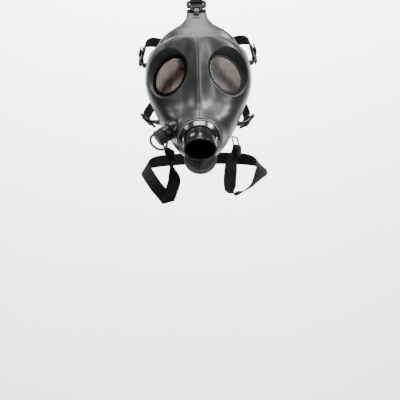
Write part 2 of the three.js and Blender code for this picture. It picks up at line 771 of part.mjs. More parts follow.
function addHarness() {
  for (const row of strapRows) {
    const { foot, away, normal, across } = buckleAxes(row);
    const buckleName = row.name.includes('_') ? row.name.replace('_', '_buckle_') : `${row.name}_buckle`;
    addPiece(buckleName, buckleGeometry(), glossBlack).applyMatrix4(frameAt(foot, across, away, normal));
    const over = onFace(...row.over);
    const end = onFace(...row.end);
    const bar = foot.clone().addScaledVector(away, buckleLength - buckleBar / 2);
    const stations = barWrap(bar, away, normal, across, row.width * strapTailShare);
    const leave = bar.clone().addScaledVector(away, strapLeave).addScaledVector(normal, -wrapRadius);
    const route = new THREE.CatmullRomCurve3([
      leave,
      leave.clone().addScaledVector(away, strapRun),
      onHead(over.clone().sub(headCentre), strapLift).at,
      onHead(over.clone().lerp(end, 0.8).sub(headCentre), padEndLift).at,
      onHead(end.clone().sub(headCentre), padEndLift).at,
    ], false, 'centripetal');
    for (const at of route.getSpacedPoints(strapStations)) {
      stations.push({ at, across });
    }
    turnAlongHead(stations, across);
    const strapName = row.name.includes('_') ? row.name.replace('_', '_strap_') : `${row.name}_strap`;
    addPiece(strapName, outward(ribbon(stations, row.width, strapThickness)), webbing);
  }
}

// After the wrap, a strap turns smoothly from its buckle's direction to lie flat on the head
function turnAlongHead(stations, first) {
  const wrapCount = 8;
  const turnCount = 8;
  stations.forEach((station, index) => {
    if (index < wrapCount) {
      return;
    }
    const next = stations[Math.min(index + 1, stations.length - 1)].at;
    const along = next.clone().sub(stations[index - 1].at).normalize();
    const normal = onHead(station.at.clone().sub(headCentre), 0).normal;
    const flat = along.clone().cross(normal).normalize();
    const share = Math.min((index - wrapCount) / turnCount, 1);
    const eased = share * share * (3 - 2 * share);
    station.across = first.clone().lerp(flat, eased).normalize();
  });
}

function addPad() {
  const steps = 8;
  const skin = (lift) => Array.from({ length: steps + 1 }, (_, row) => {
    const v = 1 - (2 * row) / steps;
    return Array.from({ length: steps + 1 }, (_unused, column) => {
      const u = 1 - (2 * column) / steps;
      const x = (padWidth / 2) * u * Math.sqrt(1 - (v * v) / 2);
      const z = (padHeight / 2) * v * Math.sqrt(1 - (u * u) / 2);
      const flat = vec(x, headRadii.y, z + padCentreHeight - headCentre.z);
      return onHead(flat, lift).at;
    });
  });
  addPiece('head_pad', outward(skinSolid(skin(padLift + padThickness), skin(padLift))), mattBlack);
}

// Neck strap and the wire loops that carry it
const neckRingRadius = 5.4;
const ringTop = leftLug.eye.clone().add(vec(0, 0, neckRingWire + 2 * clearance - lugHole));
const ringCentre = ringTop.clone().add(vec(0, 0, -neckRingRadius));
const hookLift = neckRingWire + neckLoopWire + clearance - neckRingRadius;
const leftLoop = {
  top: ringCentre.clone().add(vec(0, 0, hookLift)),
  bar: leftLug.eye.clone().addScaledVector(vec(0.185, -0.2, -0.75), neckStrapWidth),
  across: vec(0.3, 0.95, 0),
};
const rightLoop = {
  top: rightLug.eye.clone(),
  bar: rightLug.eye.clone().addScaledVector(vec(0.175, -0.1, -0.8), neckStrapWidth),
  across: rightLug.axis.clone().negate(),
};
// The strap's line as shares of the face's sizes, the way its width lies, and 1 where a fold slants that width
const neckRows = [
  { at: [-0.557, -0.45, -0.556], across: [0.25, 0.97, 0], slant: 0 },
  { at: [-0.539, -0.45, -0.6028], across: [0.3, 0.95, 0], slant: 0 },
  { at: [-0.513, -0.454, -0.646], across: [0.75, 0.66, 0.05], slant: 0 },
  { at: [-0.498, -0.457, -0.6868], across: [0.98, 0.15, -0.1], slant: 0 },
  { at: [-0.531, -0.46, -0.728], across: [0.97, 0, -0.25], slant: 0 },
  { at: [-0.577, -0.459, -0.768], across: [0.95, 0, -0.3], slant: 0 },
  { at: [-0.619, -0.455, -0.8088], across: [0.97, 0, 0.22], slant: 1 },
  { at: [-0.626, -0.443, -0.8224], across: [0.97, 0, 0.22], slant: 1 },
  { at: [-0.642, -0.431, -0.8088], across: [0.97, 0, 0.22], slant: 1 },
  { at: [-0.719, -0.419, -0.772], across: [0.83, 0.05, 0.55], slant: 0 },
  { at: [-0.83, -0.393, -0.7268], across: [0.83, 0.1, 0.55], slant: 0 },
  { at: [-0.916, -0.343, -0.684], across: [0.8, 0.2, 0.56], slant: 0 },
  { at: [-0.998, -0.243, -0.642], across: [0.72, 0.3, 0.62], slant: 0 },
  { at: [-1.054, -0.071, -0.604], across: [0.6, 0.15, 0.78], slant: 0 },
  { at: [-1.018, 0.143, -0.576], across: [0.45, -0.05, 0.89], slant: 0 },
  { at: [-0.862, 0.357, -0.556], across: [0.25, -0.2, 0.95], slant: 0 },
  { at: [-0.503, 0.571, -0.542], across: [0.05, -0.25, 0.97], slant: 0 },
  { at: [0.0, 0.657, -0.536], across: [0, -0.25, 0.97], slant: 0 },
  { at: [0.527, 0.579, -0.542], across: [-0.05, -0.25, 0.97], slant: 0 },
  { at: [0.91, 0.371, -0.556], across: [-0.25, -0.2, 0.95], slant: 0 },
  { at: [1.102, 0.129, -0.58], across: [-0.5, -0.1, 0.86], slant: 0 },
  { at: [1.162, -0.1, -0.61], across: [-0.75, 0.15, 0.6], slant: 0 },
  { at: [1.138, -0.271, -0.652], across: [-0.6, 0.6, 0.5], slant: 0 },
  { at: [1.03, -0.371, -0.702], across: [-0.2, 0.94, 0.25], slant: 0 },
  { at: [0.898, -0.429, -0.744], across: [-0.02, 0.99, 0.1], slant: 0 },
  { at: [0.76, -0.464, -0.77], across: [0.1, 0.98, -0.05], slant: 0 },
  { at: [0.629, -0.482, -0.776], across: [0.5, 0.8, -0.35], slant: 0 },
  { at: [0.551, -0.482, -0.75], across: [0.9, 0.38, -0.2], slant: 0 },
  { at: [0.539, -0.479, -0.704], across: [0.98, 0.15, 0], slant: 0 },
  { at: [0.556, -0.471, -0.6424], across: [1, 0.05, 0], slant: 0 },
  { at: [0.584, -0.45, -0.584], across: [0.85, 0.5, 0], slant: 0 },
  { at: [0.635, -0.429, -0.542], across: [0.6, 0.8, 0], slant: 0 },
];

function smoothStations(rows, perSpan) {
  const place = new THREE.CatmullRomCurve3(rows.map((row) => row.at), false, 'centripetal');
  const turn = new THREE.CatmullRomCurve3(rows.map((row) => row.across), false, 'centripetal');
  const count = (rows.length - 1) * perSpan;
  return Array.from({ length: count + 1 }, (_, index) => {
    const row = Math.floor(index / perSpan);
    const next = Math.min(row + 1, rows.length - 1);
    const share = index / perSpan - row;
    return {
      at: place.getPoint(index / count),
      across: turn.getPoint(index / count).normalize(),
      slant: THREE.MathUtils.lerp(rows[row].slant, rows[next].slant, share),
    };
  });
}

// The directions of a wire loop: down its length and level along its bars
function loopAxes(loop) {
  const down = loop.bar.clone().sub(loop.top).normalize();
  const level = loop.across.clone().addScaledVector(down, -loop.across.dot(down)).normalize();
  return { down, level };
}

function neckEnd(loop) {
  const { level } = loopAxes(loop);
  const away = vec(0, 0, -1).addScaledVector(level, level.z).normalize();
  const normal = away.clone().cross(level).normalize();
  return barWrap(loop.bar, away, normal, level, neckTail);
}

function addNeckStrap() {
  const start = neckEnd(leftLoop);
  const finish = neckEnd(rightLoop).reverse();
  const rows = neckRows.map((row) => (
    { at: onFace(...row.at), across: asVector(row.across), slant: row.slant }
  ));
  const lower = (station) => (
    { at: station.at.clone().add(vec(0, 0, -neckLeave)), across: station.across, slant: 0 }
  );
  const joined = [lower(start[start.length - 1]), ...rows, lower(finish[0])];
  const stations = [...start, ...smoothStations(joined, 2), ...finish];
  addPiece('neck_strap', outward(ribbon(stations, neckStrapWidth, strapThickness)), webbing);
}

function roundedLoop(centre, across, down, halfWidth, halfHeight, corner) {
  const points = [];
  const steps = 3;
  for (let quarter = 0; quarter < 4; quarter += 1) {
    const signX = quarter === 0 || quarter === 3 ? 1 : -1;
    const signY = quarter < 2 ? 1 : -1;
    for (let step = 0; step <= steps; step += 1) {
      const angle = (Math.PI / 2) * (quarter + step / steps);
      const x = signX * (halfWidth - corner) + corner * Math.cos(angle);
      const y = signY * (halfHeight - corner) + corner * Math.sin(angle);
      points.push(centre.clone().addScaledVector(across, x).addScaledVector(down, y));
    }
  }
  return points;
}

function addNeckLoop(name, loop) {
  const { down, level } = loopAxes(loop);
  const centre = loop.top.clone().lerp(loop.bar, 0.5);
  const halfHeight = loop.top.distanceTo(loop.bar) / 2;
  const halfWidth = neckStrapWidth / 2 + neckLoopWire + 1;
  const corner = Math.min(neckLoopCorner, halfHeight);
  const points = roundedLoop(centre, level, down, halfWidth, halfHeight, corner);
  addPiece(name, outward(wireLoop(points, level.clone().cross(down), neckLoopWire)), wire);
}

function addNeckLoops() {
  const count = 16;
  const ringPoints = Array.from({ length: count }, (_, step) => {
    const angle = (2 * Math.PI * step) / count;
    const offset = vec(Math.cos(angle), 0, Math.sin(angle)).multiplyScalar(neckRingRadius);
    return ringCentre.clone().add(offset);
  });
  addPiece('neck_ring', outward(wireLoop(ringPoints, vec(0, 1, 0), neckRingWire)), wire);
  addNeckLoop('neck_hook', leftLoop);
  addNeckLoop('jaw_ring', rightLoop);
}

addPiece('face_piece', geometryOf(facePiece()), rubber);
addLenses();
addPort();
addChinCover();
addSidePort();
addTether();
addHarness();
addPad();
addNeckStrap();
addNeckLoops();

export default mask;
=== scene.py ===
# %% [markdown]
# # Gas mask style costume mask
# A black rubber facepiece with smoked oval lenses, a front spout over a ribbed chin cover, a capped side
# port on one cheek, a five-strap harness with slotted buckles, and a loop of webbing round the neck.
# The CAD model gives the frame and the sizes. Here each piece is made again as a fine smooth surface and
# given its finish. Lengths are written in millimetres and turned to metres as each mesh is made.

# %% Load the frame
import math
import bpy
import bmesh
import numpy as np
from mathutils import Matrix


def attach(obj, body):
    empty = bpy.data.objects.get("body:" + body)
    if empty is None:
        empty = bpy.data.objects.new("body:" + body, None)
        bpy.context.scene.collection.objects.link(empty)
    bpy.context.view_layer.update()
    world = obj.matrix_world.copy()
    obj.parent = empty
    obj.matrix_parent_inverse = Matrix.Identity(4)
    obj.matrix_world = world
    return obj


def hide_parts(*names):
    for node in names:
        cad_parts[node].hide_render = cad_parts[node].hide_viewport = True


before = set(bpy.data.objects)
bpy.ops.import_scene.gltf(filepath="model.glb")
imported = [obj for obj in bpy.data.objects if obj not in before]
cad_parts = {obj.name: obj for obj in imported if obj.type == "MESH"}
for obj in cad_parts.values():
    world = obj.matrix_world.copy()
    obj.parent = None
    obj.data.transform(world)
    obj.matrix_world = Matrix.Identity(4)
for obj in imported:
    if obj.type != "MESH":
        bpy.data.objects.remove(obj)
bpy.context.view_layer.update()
MM = 0.001
print("CAD nodes:", len(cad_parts))

# %% [markdown]
# ## Camera
# The photograph looks level along +Y from far away, with the mask in the upper half of the frame. The
# mask leans a little, so the camera rolls instead and the mask itself stays upright and symmetric.

# %% Camera
camera_data = bpy.data.cameras.new("camera")
camera_data.lens = 146.25
camera_data.sensor_width = 36
camera_data.dof.use_dof = False
camera = bpy.data.objects.new("camera", camera_data)
camera.location = (-0.0023, -2.6, -0.2031)
camera.rotation_euler = (math.radians(90), math.radians(1.5), 0)
bpy.context.scene.collection.objects.link(camera)
bpy.context.scene.camera = camera

# %% [markdown]
# ## Tools for surfaces
# Every piece is a grid of points with two parameters, worked out as whole arrays. These helpers turn a
# grid into a mesh, draw smooth lines through a few points, carry a section along a line, and turn a
# profile about an axis.


# %% Surface helpers
def unit(v):
    """Each vector divided by its length."""
    v = np.asarray(v, float)
    return v / np.linalg.norm(v, axis=-1, keepdims=True)


def circle(count):
    """Evenly spaced angles once round."""
    return np.linspace(0, 2 * math.pi, count, endpoint=False)


def run_along(line):
    """The length of a line of points up to each of them."""
    return np.concatenate([[0], np.cumsum(np.linalg.norm(np.diff(line, axis=0), axis=1))])


def grid_faces(rows, columns, loop_rows=False, loop_columns=False):
    """Four-cornered faces between neighbours of a rows by columns grid."""
    r = np.arange(rows if loop_rows else rows - 1)[:, None]
    c = np.arange(columns if loop_columns else columns - 1)[None]
    down, right = (r + 1) % rows, (c + 1) % columns
    corners = [r * columns + c, down * columns + c, down * columns + right, r * columns + right]
    return np.stack(np.broadcast_arrays(*corners), -1).reshape(-1, 4).tolist()


def add_mesh(name, points, faces, closed=True, sharp=None, uv=None):
    """A smooth mesh in metres; a closed one is turned so that its enclosed volume is positive."""
    points = np.asarray(points, float).reshape(-1, 3) * MM
    mesh = bpy.data.meshes.new(name)
    mesh.from_pydata(points.tolist(), [], faces)
    if uv is not None:
        layer = mesh.uv_layers.new(name="UVMap")
        index = np.empty(len(mesh.loops), np.int64)
        mesh.loops.foreach_get("vertex_index", index)
        layer.data.foreach_set("uv", np.asarray(uv, float).reshape(-1, 2)[index].ravel())
    bm = bmesh.new()
    bm.from_mesh(mesh)
    bmesh.ops.remove_doubles(bm, verts=bm.verts, dist=2e-6)
    if closed and bm.calc_volume(signed=True) < 0:
        bmesh.ops.reverse_faces(bm, faces=bm.faces)
    bm.to_mesh(mesh)
    bm.free()
    mesh.shade_smooth()
    if sharp is not None:
        mesh.set_sharp_from_angle(angle=math.radians(sharp))
    piece = bpy.data.objects.new(name, mesh)
    bpy.context.scene.collection.objects.link(piece)
    return piece


def smooth_line(rows, count, fine=24):
    """Stations evenly spaced by length on a smooth curve through rows of numbers, whose first three are
    the place: a cubic span between neighbours, with times that grow as the root of their distance."""
    p = np.asarray(rows, float)
    q = np.vstack([2 * p[0] - p[1], p, 2 * p[-1] - p[-2]])
    gap = np.sqrt(np.linalg.norm(np.diff(q[:, :3], axis=0), axis=1))[:, None]
    step = np.diff(q, axis=0) / gap
    tangent = step[:-1] + step[1:] - (q[2:] - q[:-2]) / (gap[:-1] + gap[1:])
    s = np.linspace(0, 1, fine, endpoint=False)[None, :, None]
    a, b, d = p[:-1, None], p[1:, None], gap[1:-1, None]
    line = a * (2 * s**3 - 3 * s**2 + 1) + b * (3 * s**2 - 2 * s**3)
    line = line + d * (tangent[:-1, None] * (s**3 - 2 * s**2 + s) + tangent[1:, None] * (s**3 - s**2))
    line = np.vstack([line.reshape(-1, p.shape[1]), p[-1:]])
    length = run_along(line[:, :3])
    at = np.linspace(0, length[-1], count)
    return np.stack([np.interp(at, length, line[:, i]) for i in range(p.shape[1])], -1)


def carry(line, across, section, loop=False, slant=0.0):
    """Section points (w, t) carried along a line: place + w times the across direction + t times the
    normal, which is the line's direction crossed with across. Across is squared to the line, except
    where slant is 1, as at a fold; there w grows by one over the sine of their angle."""
    along = np.roll(line, -1, 0) - np.roll(line, 1, 0) if loop else np.gradient(line, axis=0)
    along = unit(along)
    across = np.broadcast_to(np.asarray(across, float), line.shape)
    square = unit(across - along * (across * along).sum(-1, keepdims=True))
    across = unit(square + (across - square) * slant)
    normal = np.cross(along, across)
    sine = np.linalg.norm(normal, axis=-1, keepdims=True)
    section = np.broadcast_to(np.asarray(section, float), (len(line),) + np.shape(section)[-2:])
    wide = (across / sine)[:, None] * section[..., :1]
    return line[:, None] + wide + (normal / sine)[:, None] * section[..., 1:2]


def tube(name, grid, loop=False, **more):
    """A body whose sections are the grid's rows, joined end to end or closed by a flat face each."""
    rows, sides = grid.shape[:2]
    faces = grid_faces(rows, sides, loop_rows=loop, loop_columns=True)
    if not loop:
        faces += [list(range(sides))[::-1], list(range((rows - 1) * sides, rows * sides))]
    return add_mesh(name, grid, faces, **more)


def round_section(width, height, power=2.0, sides=16):
    """A closed section, |x/width|^power + |y/height|^power = 1 on half sizes: 2 is an ellipse."""
    angle = circle(sides) + math.pi / sides
    c, s = np.cos(angle), np.sin(angle)
    reach = (np.abs(c) ** power + np.abs(s) ** power) ** (-1 / power)
    return np.stack([width / 2 * reach * c, height / 2 * reach * s], -1)


def round_corners(profile, radius, steps=4):
    """The same open profile with each inner corner replaced by a small curve, at most radius from it."""
    p = np.asarray(profile, float)
    before, here, after = p[:-2], p[1:-1], p[2:]
    cut_a = np.minimum(radius, 0.45 * np.linalg.norm(before - here, axis=1))[:, None]
    cut_b = np.minimum(radius, 0.45 * np.linalg.norm(after - here, axis=1))[:, None]
    a, b = here + cut_a * unit(before - here), here + cut_b * unit(after - here)
    t = np.linspace(0, 1, steps + 1)[None, :, None]
    curve = a[:, None] * (1 - t) ** 2 + 2 * here[:, None] * t * (1 - t) + b[:, None] * t**2
    return np.vstack([p[:1], curve.reshape(-1, p.shape[1]), p[-1:]])


def turned(name, profile, origin, axis, sides=96, shape=None, **more):
    """Profile (radius, height) turned about an axis; shape may change its radius and height."""
    axis = unit(axis)
    up = unit(np.array([0, 0, 1.0]) - axis * axis[2])
    side = np.cross(up, axis)
    angle = circle(sides)[None]
    profile = np.asarray(profile, float)
    radius, height = np.broadcast_arrays(profile[:, :1], profile[:, 1:2] + 0 * angle)
    radius = radius + 0 * angle
    if shape is not None:
        radius, height = shape(radius, angle, height)
    grid = (np.asarray(origin, float) + radius[..., None] * np.cos(angle)[..., None] * side
            + radius[..., None] * np.sin(angle)[..., None] * up + height[..., None] * axis)
    loop = bool(np.allclose(profile[0], profile[-1]))
    faces = grid_faces(len(profile) - (1 if loop else 0), sides, loop_rows=loop, loop_columns=True)
    return add_mesh(name, grid[:-1] if loop else grid, faces, **more)


def finish_piece(piece, look, slot, *nodes):
    """Gives a piece its material, lets it ride on the body and stand for its CAD nodes.
    The slot argument is not used.
    """
    piece.data.materials.clear()
    piece.data.materials.append(look)
    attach(piece, "root")
    if nodes:
        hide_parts(*nodes)
    triangles = sum(len(face.vertices) - 2 for face in piece.data.polygons)
    print(f"{piece.name}: {triangles} triangles")
    return piece


# %% [markdown]
# ## Tools for finishes
# A finish is a small node graph on object coordinates or on a piece's own UV map. Two layers of noise
# move the colour and the roughness, and a bump carries grain, moulding flow or weave.


# %% Material helpers
def node(tree, kind, links=None, **values):
    """A node with its settings; links gives sockets or constants for its inputs."""
    made = tree.nodes.new(kind)
    for key, value in values.items():
        setattr(made, key, value)
    for key, value in (links or {}).items():
        if isinstance(value, bpy.types.NodeSocket):
            tree.links.new(value, made.inputs[key])
        else:
            made.inputs[key].default_value = value
    return made


def ramp(tree, factor, stops):
    """A colour ramp over the factor; stops are (place, grey or colour)."""
    made = node(tree, "ShaderNodeValToRGB", {"Fac": factor})
    elements = made.color_ramp.elements
    while len(elements) < len(stops):
        elements.new(0.5)
    for element, (place, shade) in zip(elements, stops):
        element.position = place
        element.color = (shade, shade, shade, 1) if np.isscalar(shade) else (*shade, 1)
    return made.outputs["Color"]


def noise(tree, vector, scale, detail=3.0, rough=0.55, distortion=0.0):
    links = {"Vector": vector, "Scale": scale, "Detail": detail, "Roughness": rough,
             "Distortion": distortion}
    return node(tree, "ShaderNodeTexNoise", links).outputs["Fac"]


def maths(tree, operation, a, b=0.0, clamp=False):
    return node(tree, "ShaderNodeMath", {0: a, 1: b}, operation=operation, use_clamp=clamp).outputs[0]


def mix(tree, share, first, second):
    """Share 0 gives the first colour and share 1 the second."""
    return node(tree, "ShaderNodeMixRGB", {"Fac": share, "Color1": first, "Color2": second}).outputs[0]


def start_material(name):
    """An empty material with its shader; returns the material, tree, shader and object coordinates."""
    made = bpy.data.materials.new(name)
    made.use_nodes = True
    tree = made.node_tree
    tree.nodes.clear()
    output = tree.nodes.new("ShaderNodeOutputMaterial")
    shader = tree.nodes.new("ShaderNodeBsdfPrincipled")
    tree.links.new(shader.outputs["BSDF"], output.inputs["Surface"])
    place = tree.nodes.new("ShaderNodeTexCoord").outputs["Object"]
    return made, tree, shader, place


def moulded(name, low, high, rough, grain=900.0, bump=0.15, mottle=35.0, shine=0.3, scuff=0.12):
    """A moulded plastic or rubber: colour drifts between two tones, roughness between two values, a fine
    grain bumps the surface and thin stretched scuffs lift the colour a little."""
    made, tree, shader, place = start_material(name)
    broad = noise(tree, place, mottle, 4.0, 0.6, 0.4)
    stretched = node(tree, "ShaderNodeMapping", {"Vector": place, "Scale": (1.0, 1.0, 0.22),
                                                 "Rotation": (0.4, 0.7, 0.2)}).outputs["Vector"]
    scratch = ramp(tree, noise(tree, stretched, 420.0, 5.0, 0.75, 0.2), [(0.62, 0.0), (0.72, 1.0)])
    tone = ramp(tree, broad, [(0.3, low), (0.7, high)])
    lift = tuple(min(1.0, c * 2.2 + 0.02) for c in high)
    tone = mix(tree, maths(tree, "MULTIPLY", scratch, scuff), tone, (*lift, 1))
    tree.links.new(tone, shader.inputs["Base Color"])
    worn = noise(tree, place, mottle * 3.1, 5.0, 0.65)
    tree.links.new(ramp(tree, worn, [(0.3, rough[0]), (0.72, rough[1])]), shader.inputs["Roughness"])
    height = maths(tree, "ADD", noise(tree, place, grain, 2.0, 0.5), maths(tree, "MULTIPLY", broad, 2.0))
    relief = node(tree, "ShaderNodeBump", {"Height": height, "Strength": bump, "Distance": 0.0006})
    tree.links.new(relief.outputs["Normal"], shader.inputs["Normal"])
    shader.inputs["Specular IOR Level"].default_value = shine
    return made


# %% [markdown]
# ## Cap tether
# A soft black cord, about 4 mm thick, that keeps the side port's cap from being lost. It leaves the cap's
# end, swings below the port and goes back to its tube. It follows the same points as the CAD cord, so its
# length is the real one.

# %% Cap tether
tether_radius = 1.9
tether_route = np.array([
    (-70.3, -116.7, -101.3), (-73.2, -117.2, -103.4), (-75.4, -117.0, -107.2), (-75.4, -115.8, -111.8),
    (-72.6, -113.6, -117.4), (-66.8, -110.8, -122.2), (-60.2, -108.0, -124.4), (-54.6, -104.5, -122.8),
    (-51.6, -100.0, -119.0), (-50.9, -96.4, -113.8), (-51.6, -96.6, -109.0), (-52.1, -100.2, -106.3)])
tether_line = smooth_line(tether_route, 90)
tether_section = round_section(2 * tether_radius, 2 * tether_radius, sides=20)
tether = tube("tether_cord", carry(tether_line, (0.35, -0.9, 0.2), tether_section))
cord_look = moulded("soft_cord", (0.012, 0.0115, 0.011), (0.03, 0.028, 0.027), (0.38, 0.6), grain=1500.0,
                    bump=0.3)
finish_piece(tether, cord_look, "matt_plastic", "cap_tether")

# %% [markdown]
# ## Facepiece skin
# The real facepiece is one rubber moulding. Its sections run from the forehead tab down to the chin. Each
# is a squared ellipse with a soft nose ridge, and the numbers come from two short tables: the seal band
# above the brow crest, and the face below it. The same tables shape the CAD shell.

# %% Facepiece tables and section formula
face_height, face_half_width, face_depth = 250.0, 83.5, 140.0
nose_ridge, nose_ridge_width, crest_fall, rubber_wall, clearance = 13.0, 15.0, 2.2, 3.0, 0.3
tab_step_height, tab_step_run, tab_step_lift = 88.5, 0.6, 1.1
# Columns: height, edge, half, depth, rim, full, ridge
band_rows = np.array([
    (0.380, 0.378, 0.180, 0.414, 0.407, 2.0, 0.0), (0.344, 0.343, 0.192, 0.475, 0.464, 2.0, 0.0),
    (0.316, 0.312, 0.222, 0.514, 0.500, 2.0, 0.0), (0.292, 0.280, 0.311, 0.546, 0.521, 2.0, 0.0),
    (0.272, 0.258, 0.431, 0.571, 0.521, 2.0, 0.0), (0.256, 0.230, 0.563, 0.593, 0.500, 2.1, 0.0),
    (0.242, 0.192, 0.683, 0.607, 0.457, 2.2, 0.0), (0.228, 0.146, 0.766, 0.621, 0.407, 2.3, 0.0),
    (0.216, 0.100, 0.826, 0.629, 0.357, 2.4, 0.0)])
body_rows = np.array([
    (0.218, 0.108, 0.910, 0.743, 0.343, 2.6, 0.0), (0.188, 0.056, 0.964, 0.764, 0.279, 3.3, 0.2),
    (0.120, 0.008, 0.988, 0.764, 0.221, 4.3, 0.6), (0.040, -0.040, 1.000, 0.764, 0.193, 5.0, 0.9),
    (-0.048, -0.100, 0.994, 0.768, 0.179, 5.0, 1.0), (-0.140, -0.172, 0.940, 0.775, 0.171, 4.3, 1.0),
    (-0.208, -0.228, 0.868, 0.800, 0.186, 3.7, 0.95), (-0.260, -0.276, 0.808, 0.850, 0.207, 3.3, 0.8),
    (-0.308, -0.320, 0.749, 0.907, 0.236, 3.0, 0.5), (-0.352, -0.364, 0.683, 0.929, 0.264, 2.8, 0.2),
    (-0.408, -0.412, 0.605, 0.900, 0.307, 2.7, 0.0), (-0.468, -0.460, 0.515, 0.843, 0.357, 2.6, 0.0),
    (-0.524, -0.504, 0.413, 0.786, 0.414, 2.5, 0.0), (-0.568, -0.536, 0.311, 0.721, 0.464, 2.4, 0.0),
    (-0.600, -0.560, 0.204, 0.643, 0.507, 2.2, 0.0), (-0.616, -0.572, 0.108, 0.579, 0.536, 2.0, 0.0)])


def blend_rows(rows, place):
    """Rows at fractional places, on a cubic through the four nearest rows."""
    low = np.clip(np.floor(place).astype(int), 0, len(rows) - 2)
    t = (place - low)[:, None]
    a, b, c, d = (rows[np.clip(low + i, 0, len(rows) - 1)] for i in (-1, 0, 1, 2))
    return b + 0.5 * t * (c - a + t * (2 * a - 5 * b + 4 * c - d + t * (3 * (b - c) + d - a)))


def face_points(rows, angle):
    """Section points: x is half width times reach times sine, depth runs from the rim to the middle as
    reach times cosine, and the height falls from the middle to the edge as reach times sine to a power."""
    height, edge, half, depth, rim, full, ridge = (column[:, None] for column in rows.T)
    s, c = np.sin(angle)[None], np.cos(angle)[None]
    reach = (np.abs(s) ** full + np.abs(c) ** full) ** (-1 / full)
    x = face_half_width * half * reach * s
    bump = nose_ridge * ridge * np.exp(-((x / nose_ridge_width) ** 2))
    y = -(face_depth * (rim + (depth - rim) * reach * c) + bump)
    z = face_height * (height + (edge - height) * np.abs(reach * s) ** crest_fall)
    return np.stack([x, y, z], -1)


# %% [markdown]
# The grid's rows are close together round the eyes and the port, and its columns close up at the middle
# seam and open out along the flanks. The brow crest is a step between the two tables; a few passes of
# averaging along the rows give it the soft edge of moulded rubber. The forehead tab's thicker upper end
# starts at a small step.

# %% Facepiece grid
band_steps = [9, 3, 4, 4, 4, 4, 4, 4]
body_steps = [7, 13, 15, 17, 17, 14, 12, 11, 9, 12, 11, 9, 7, 5, 3]
crest_steps = 10
band_place = np.concatenate([i + np.arange(n) / n for i, n in enumerate(band_steps)])
body_place = np.concatenate([i + np.arange(n) / n for i, n in enumerate(body_steps)] + [[len(body_steps)]])
crest_share = (np.arange(crest_steps) / crest_steps)[:, None]
face_rows = np.vstack([
    blend_rows(band_rows, band_place),
    band_rows[-1] * (1 - crest_share) + body_rows[0] * crest_share,
    blend_rows(body_rows, body_place)])
face_columns = 170
sample = np.radians(np.linspace(-90, 90, 2001))
shape_row = face_points(body_rows[3:4], sample)[0]
spacing = np.linalg.norm(np.diff(shape_row, axis=0), axis=1)
middle = 0.5 * (shape_row[1:] + shape_row[:-1])
spacing = spacing * np.where(middle[:, 1] < -80, 1.0, 0.5) * (1 + 1.6 * np.exp(-((middle[:, 0] / 3) ** 2)))
total = np.concatenate([[0], np.cumsum(spacing)])
face_angle = np.interp(np.linspace(0, total[-1], face_columns + 1), total, sample)
face = face_points(face_rows, face_angle)
crest_row = sum(band_steps)
above = (face_rows[:, 0] * face_height - tab_step_height) / tab_step_run
tab_step = tab_step_lift * np.clip(above, 0, 1)[:, None, None]
face = face + tab_step * np.array([0, -0.8, 0.6])
row_index = np.arange(len(face))
from_crest = np.abs(row_index - crest_row - crest_steps / 2) / crest_steps
near_crest = np.clip(1.4 - from_crest, 0, 1)[:, None, None]
for _ in range(2):
    soft = 0.25 * np.roll(face, 1, 0) + 0.5 * face + 0.25 * np.roll(face, -1, 0)
    face = face + near_crest * (soft - face)
print("face grid", face.shape)


# %% [markdown]
# Eye funnels, the round port seat and the middle seam are pushed into this grid. A funnel is a cone with
# an oval floor: where the skin stands above the cone it drops to it, with a rounded meeting and a thin
# raised bead along the rim. The port swells out to a flat ring with a soft fillet.

# %% Funnels, port and seam
def soft_min(a, b, k):
    """The lower of two heights, rounded where they are within k of each other."""
    share = np.clip(0.5 + 0.5 * (b - a) / k, 0, 1)
    return b * (1 - share) + a * share - k * share * (1 - share)


lens_centre, lens_long, lens_short = np.array([43.3, -95.0, -10.7]), 66.0, 50.0
lens_outward, lens_upward, lens_lean, lens_lip = math.radians(22), math.radians(8), math.radians(35), 3.5
funnel_slope = math.tan(math.radians(32))
port_centre, port_drop = np.array([0.0, -124.0, -110.0]), math.radians(28)
port_axis = np.array([0, -math.cos(port_drop), -math.sin(port_drop)])
boss_radius, boss_flare, boss_length = 34.5, 6.0, 20.0
spout_radius = 25.5
side_centre = np.array([-43.0, -110.0, -94.0])
side_axis = unit([-0.82, -0.2, -0.54])
side_radius = 13.2
funnel_round, rim_bead, rim_bead_width, boss_round = 1.6, 0.7, 1.6, 9.0
seam_depth, seam_width, seam_top = 0.55, 0.75, 52


def lens_frame(side):
    """Origin, short axis, long axis and outward normal of one eye."""
    normal = np.array([side * math.sin(lens_outward) * math.cos(lens_upward),
                       -math.cos(lens_outward) * math.cos(lens_upward), math.sin(lens_upward)])
    long = np.array([-side * math.sin(lens_lean), 0, math.cos(lens_lean)])
    long = unit(long - normal * (long @ normal))
    return lens_centre * (side, 1, 1), np.cross(long, normal), long, normal


def round_about(points, centre, axis):
    """Height along an axis, and the vector and distance out from it."""
    rel = points - centre
    height = rel @ axis
    out = rel - height[..., None] * axis
    return height, out, np.linalg.norm(out, axis=-1)


half_short, half_long = lens_short / 2 + clearance, lens_long / 2 + clearance
for side in (-1, 1):
    origin, short, long, normal = lens_frame(side)
    a, b, h = ((face - origin) @ v for v in (short, long, normal))
    r = np.sqrt((a / half_short) ** 2 + (b / half_long) ** 2)
    local = np.sqrt(a**2 + b**2) / np.maximum(r, 1e-6)
    cone = np.maximum(r - 1, 0) * local / funnel_slope
    new = np.where(h > 0, soft_min(h, cone, funnel_round), np.minimum(h, cone))
    bead = rim_bead * np.exp(-(((h - cone) / rim_bead_width) ** 2)) * (r > 1.03)
    face = face + (new - h + bead)[..., None] * normal

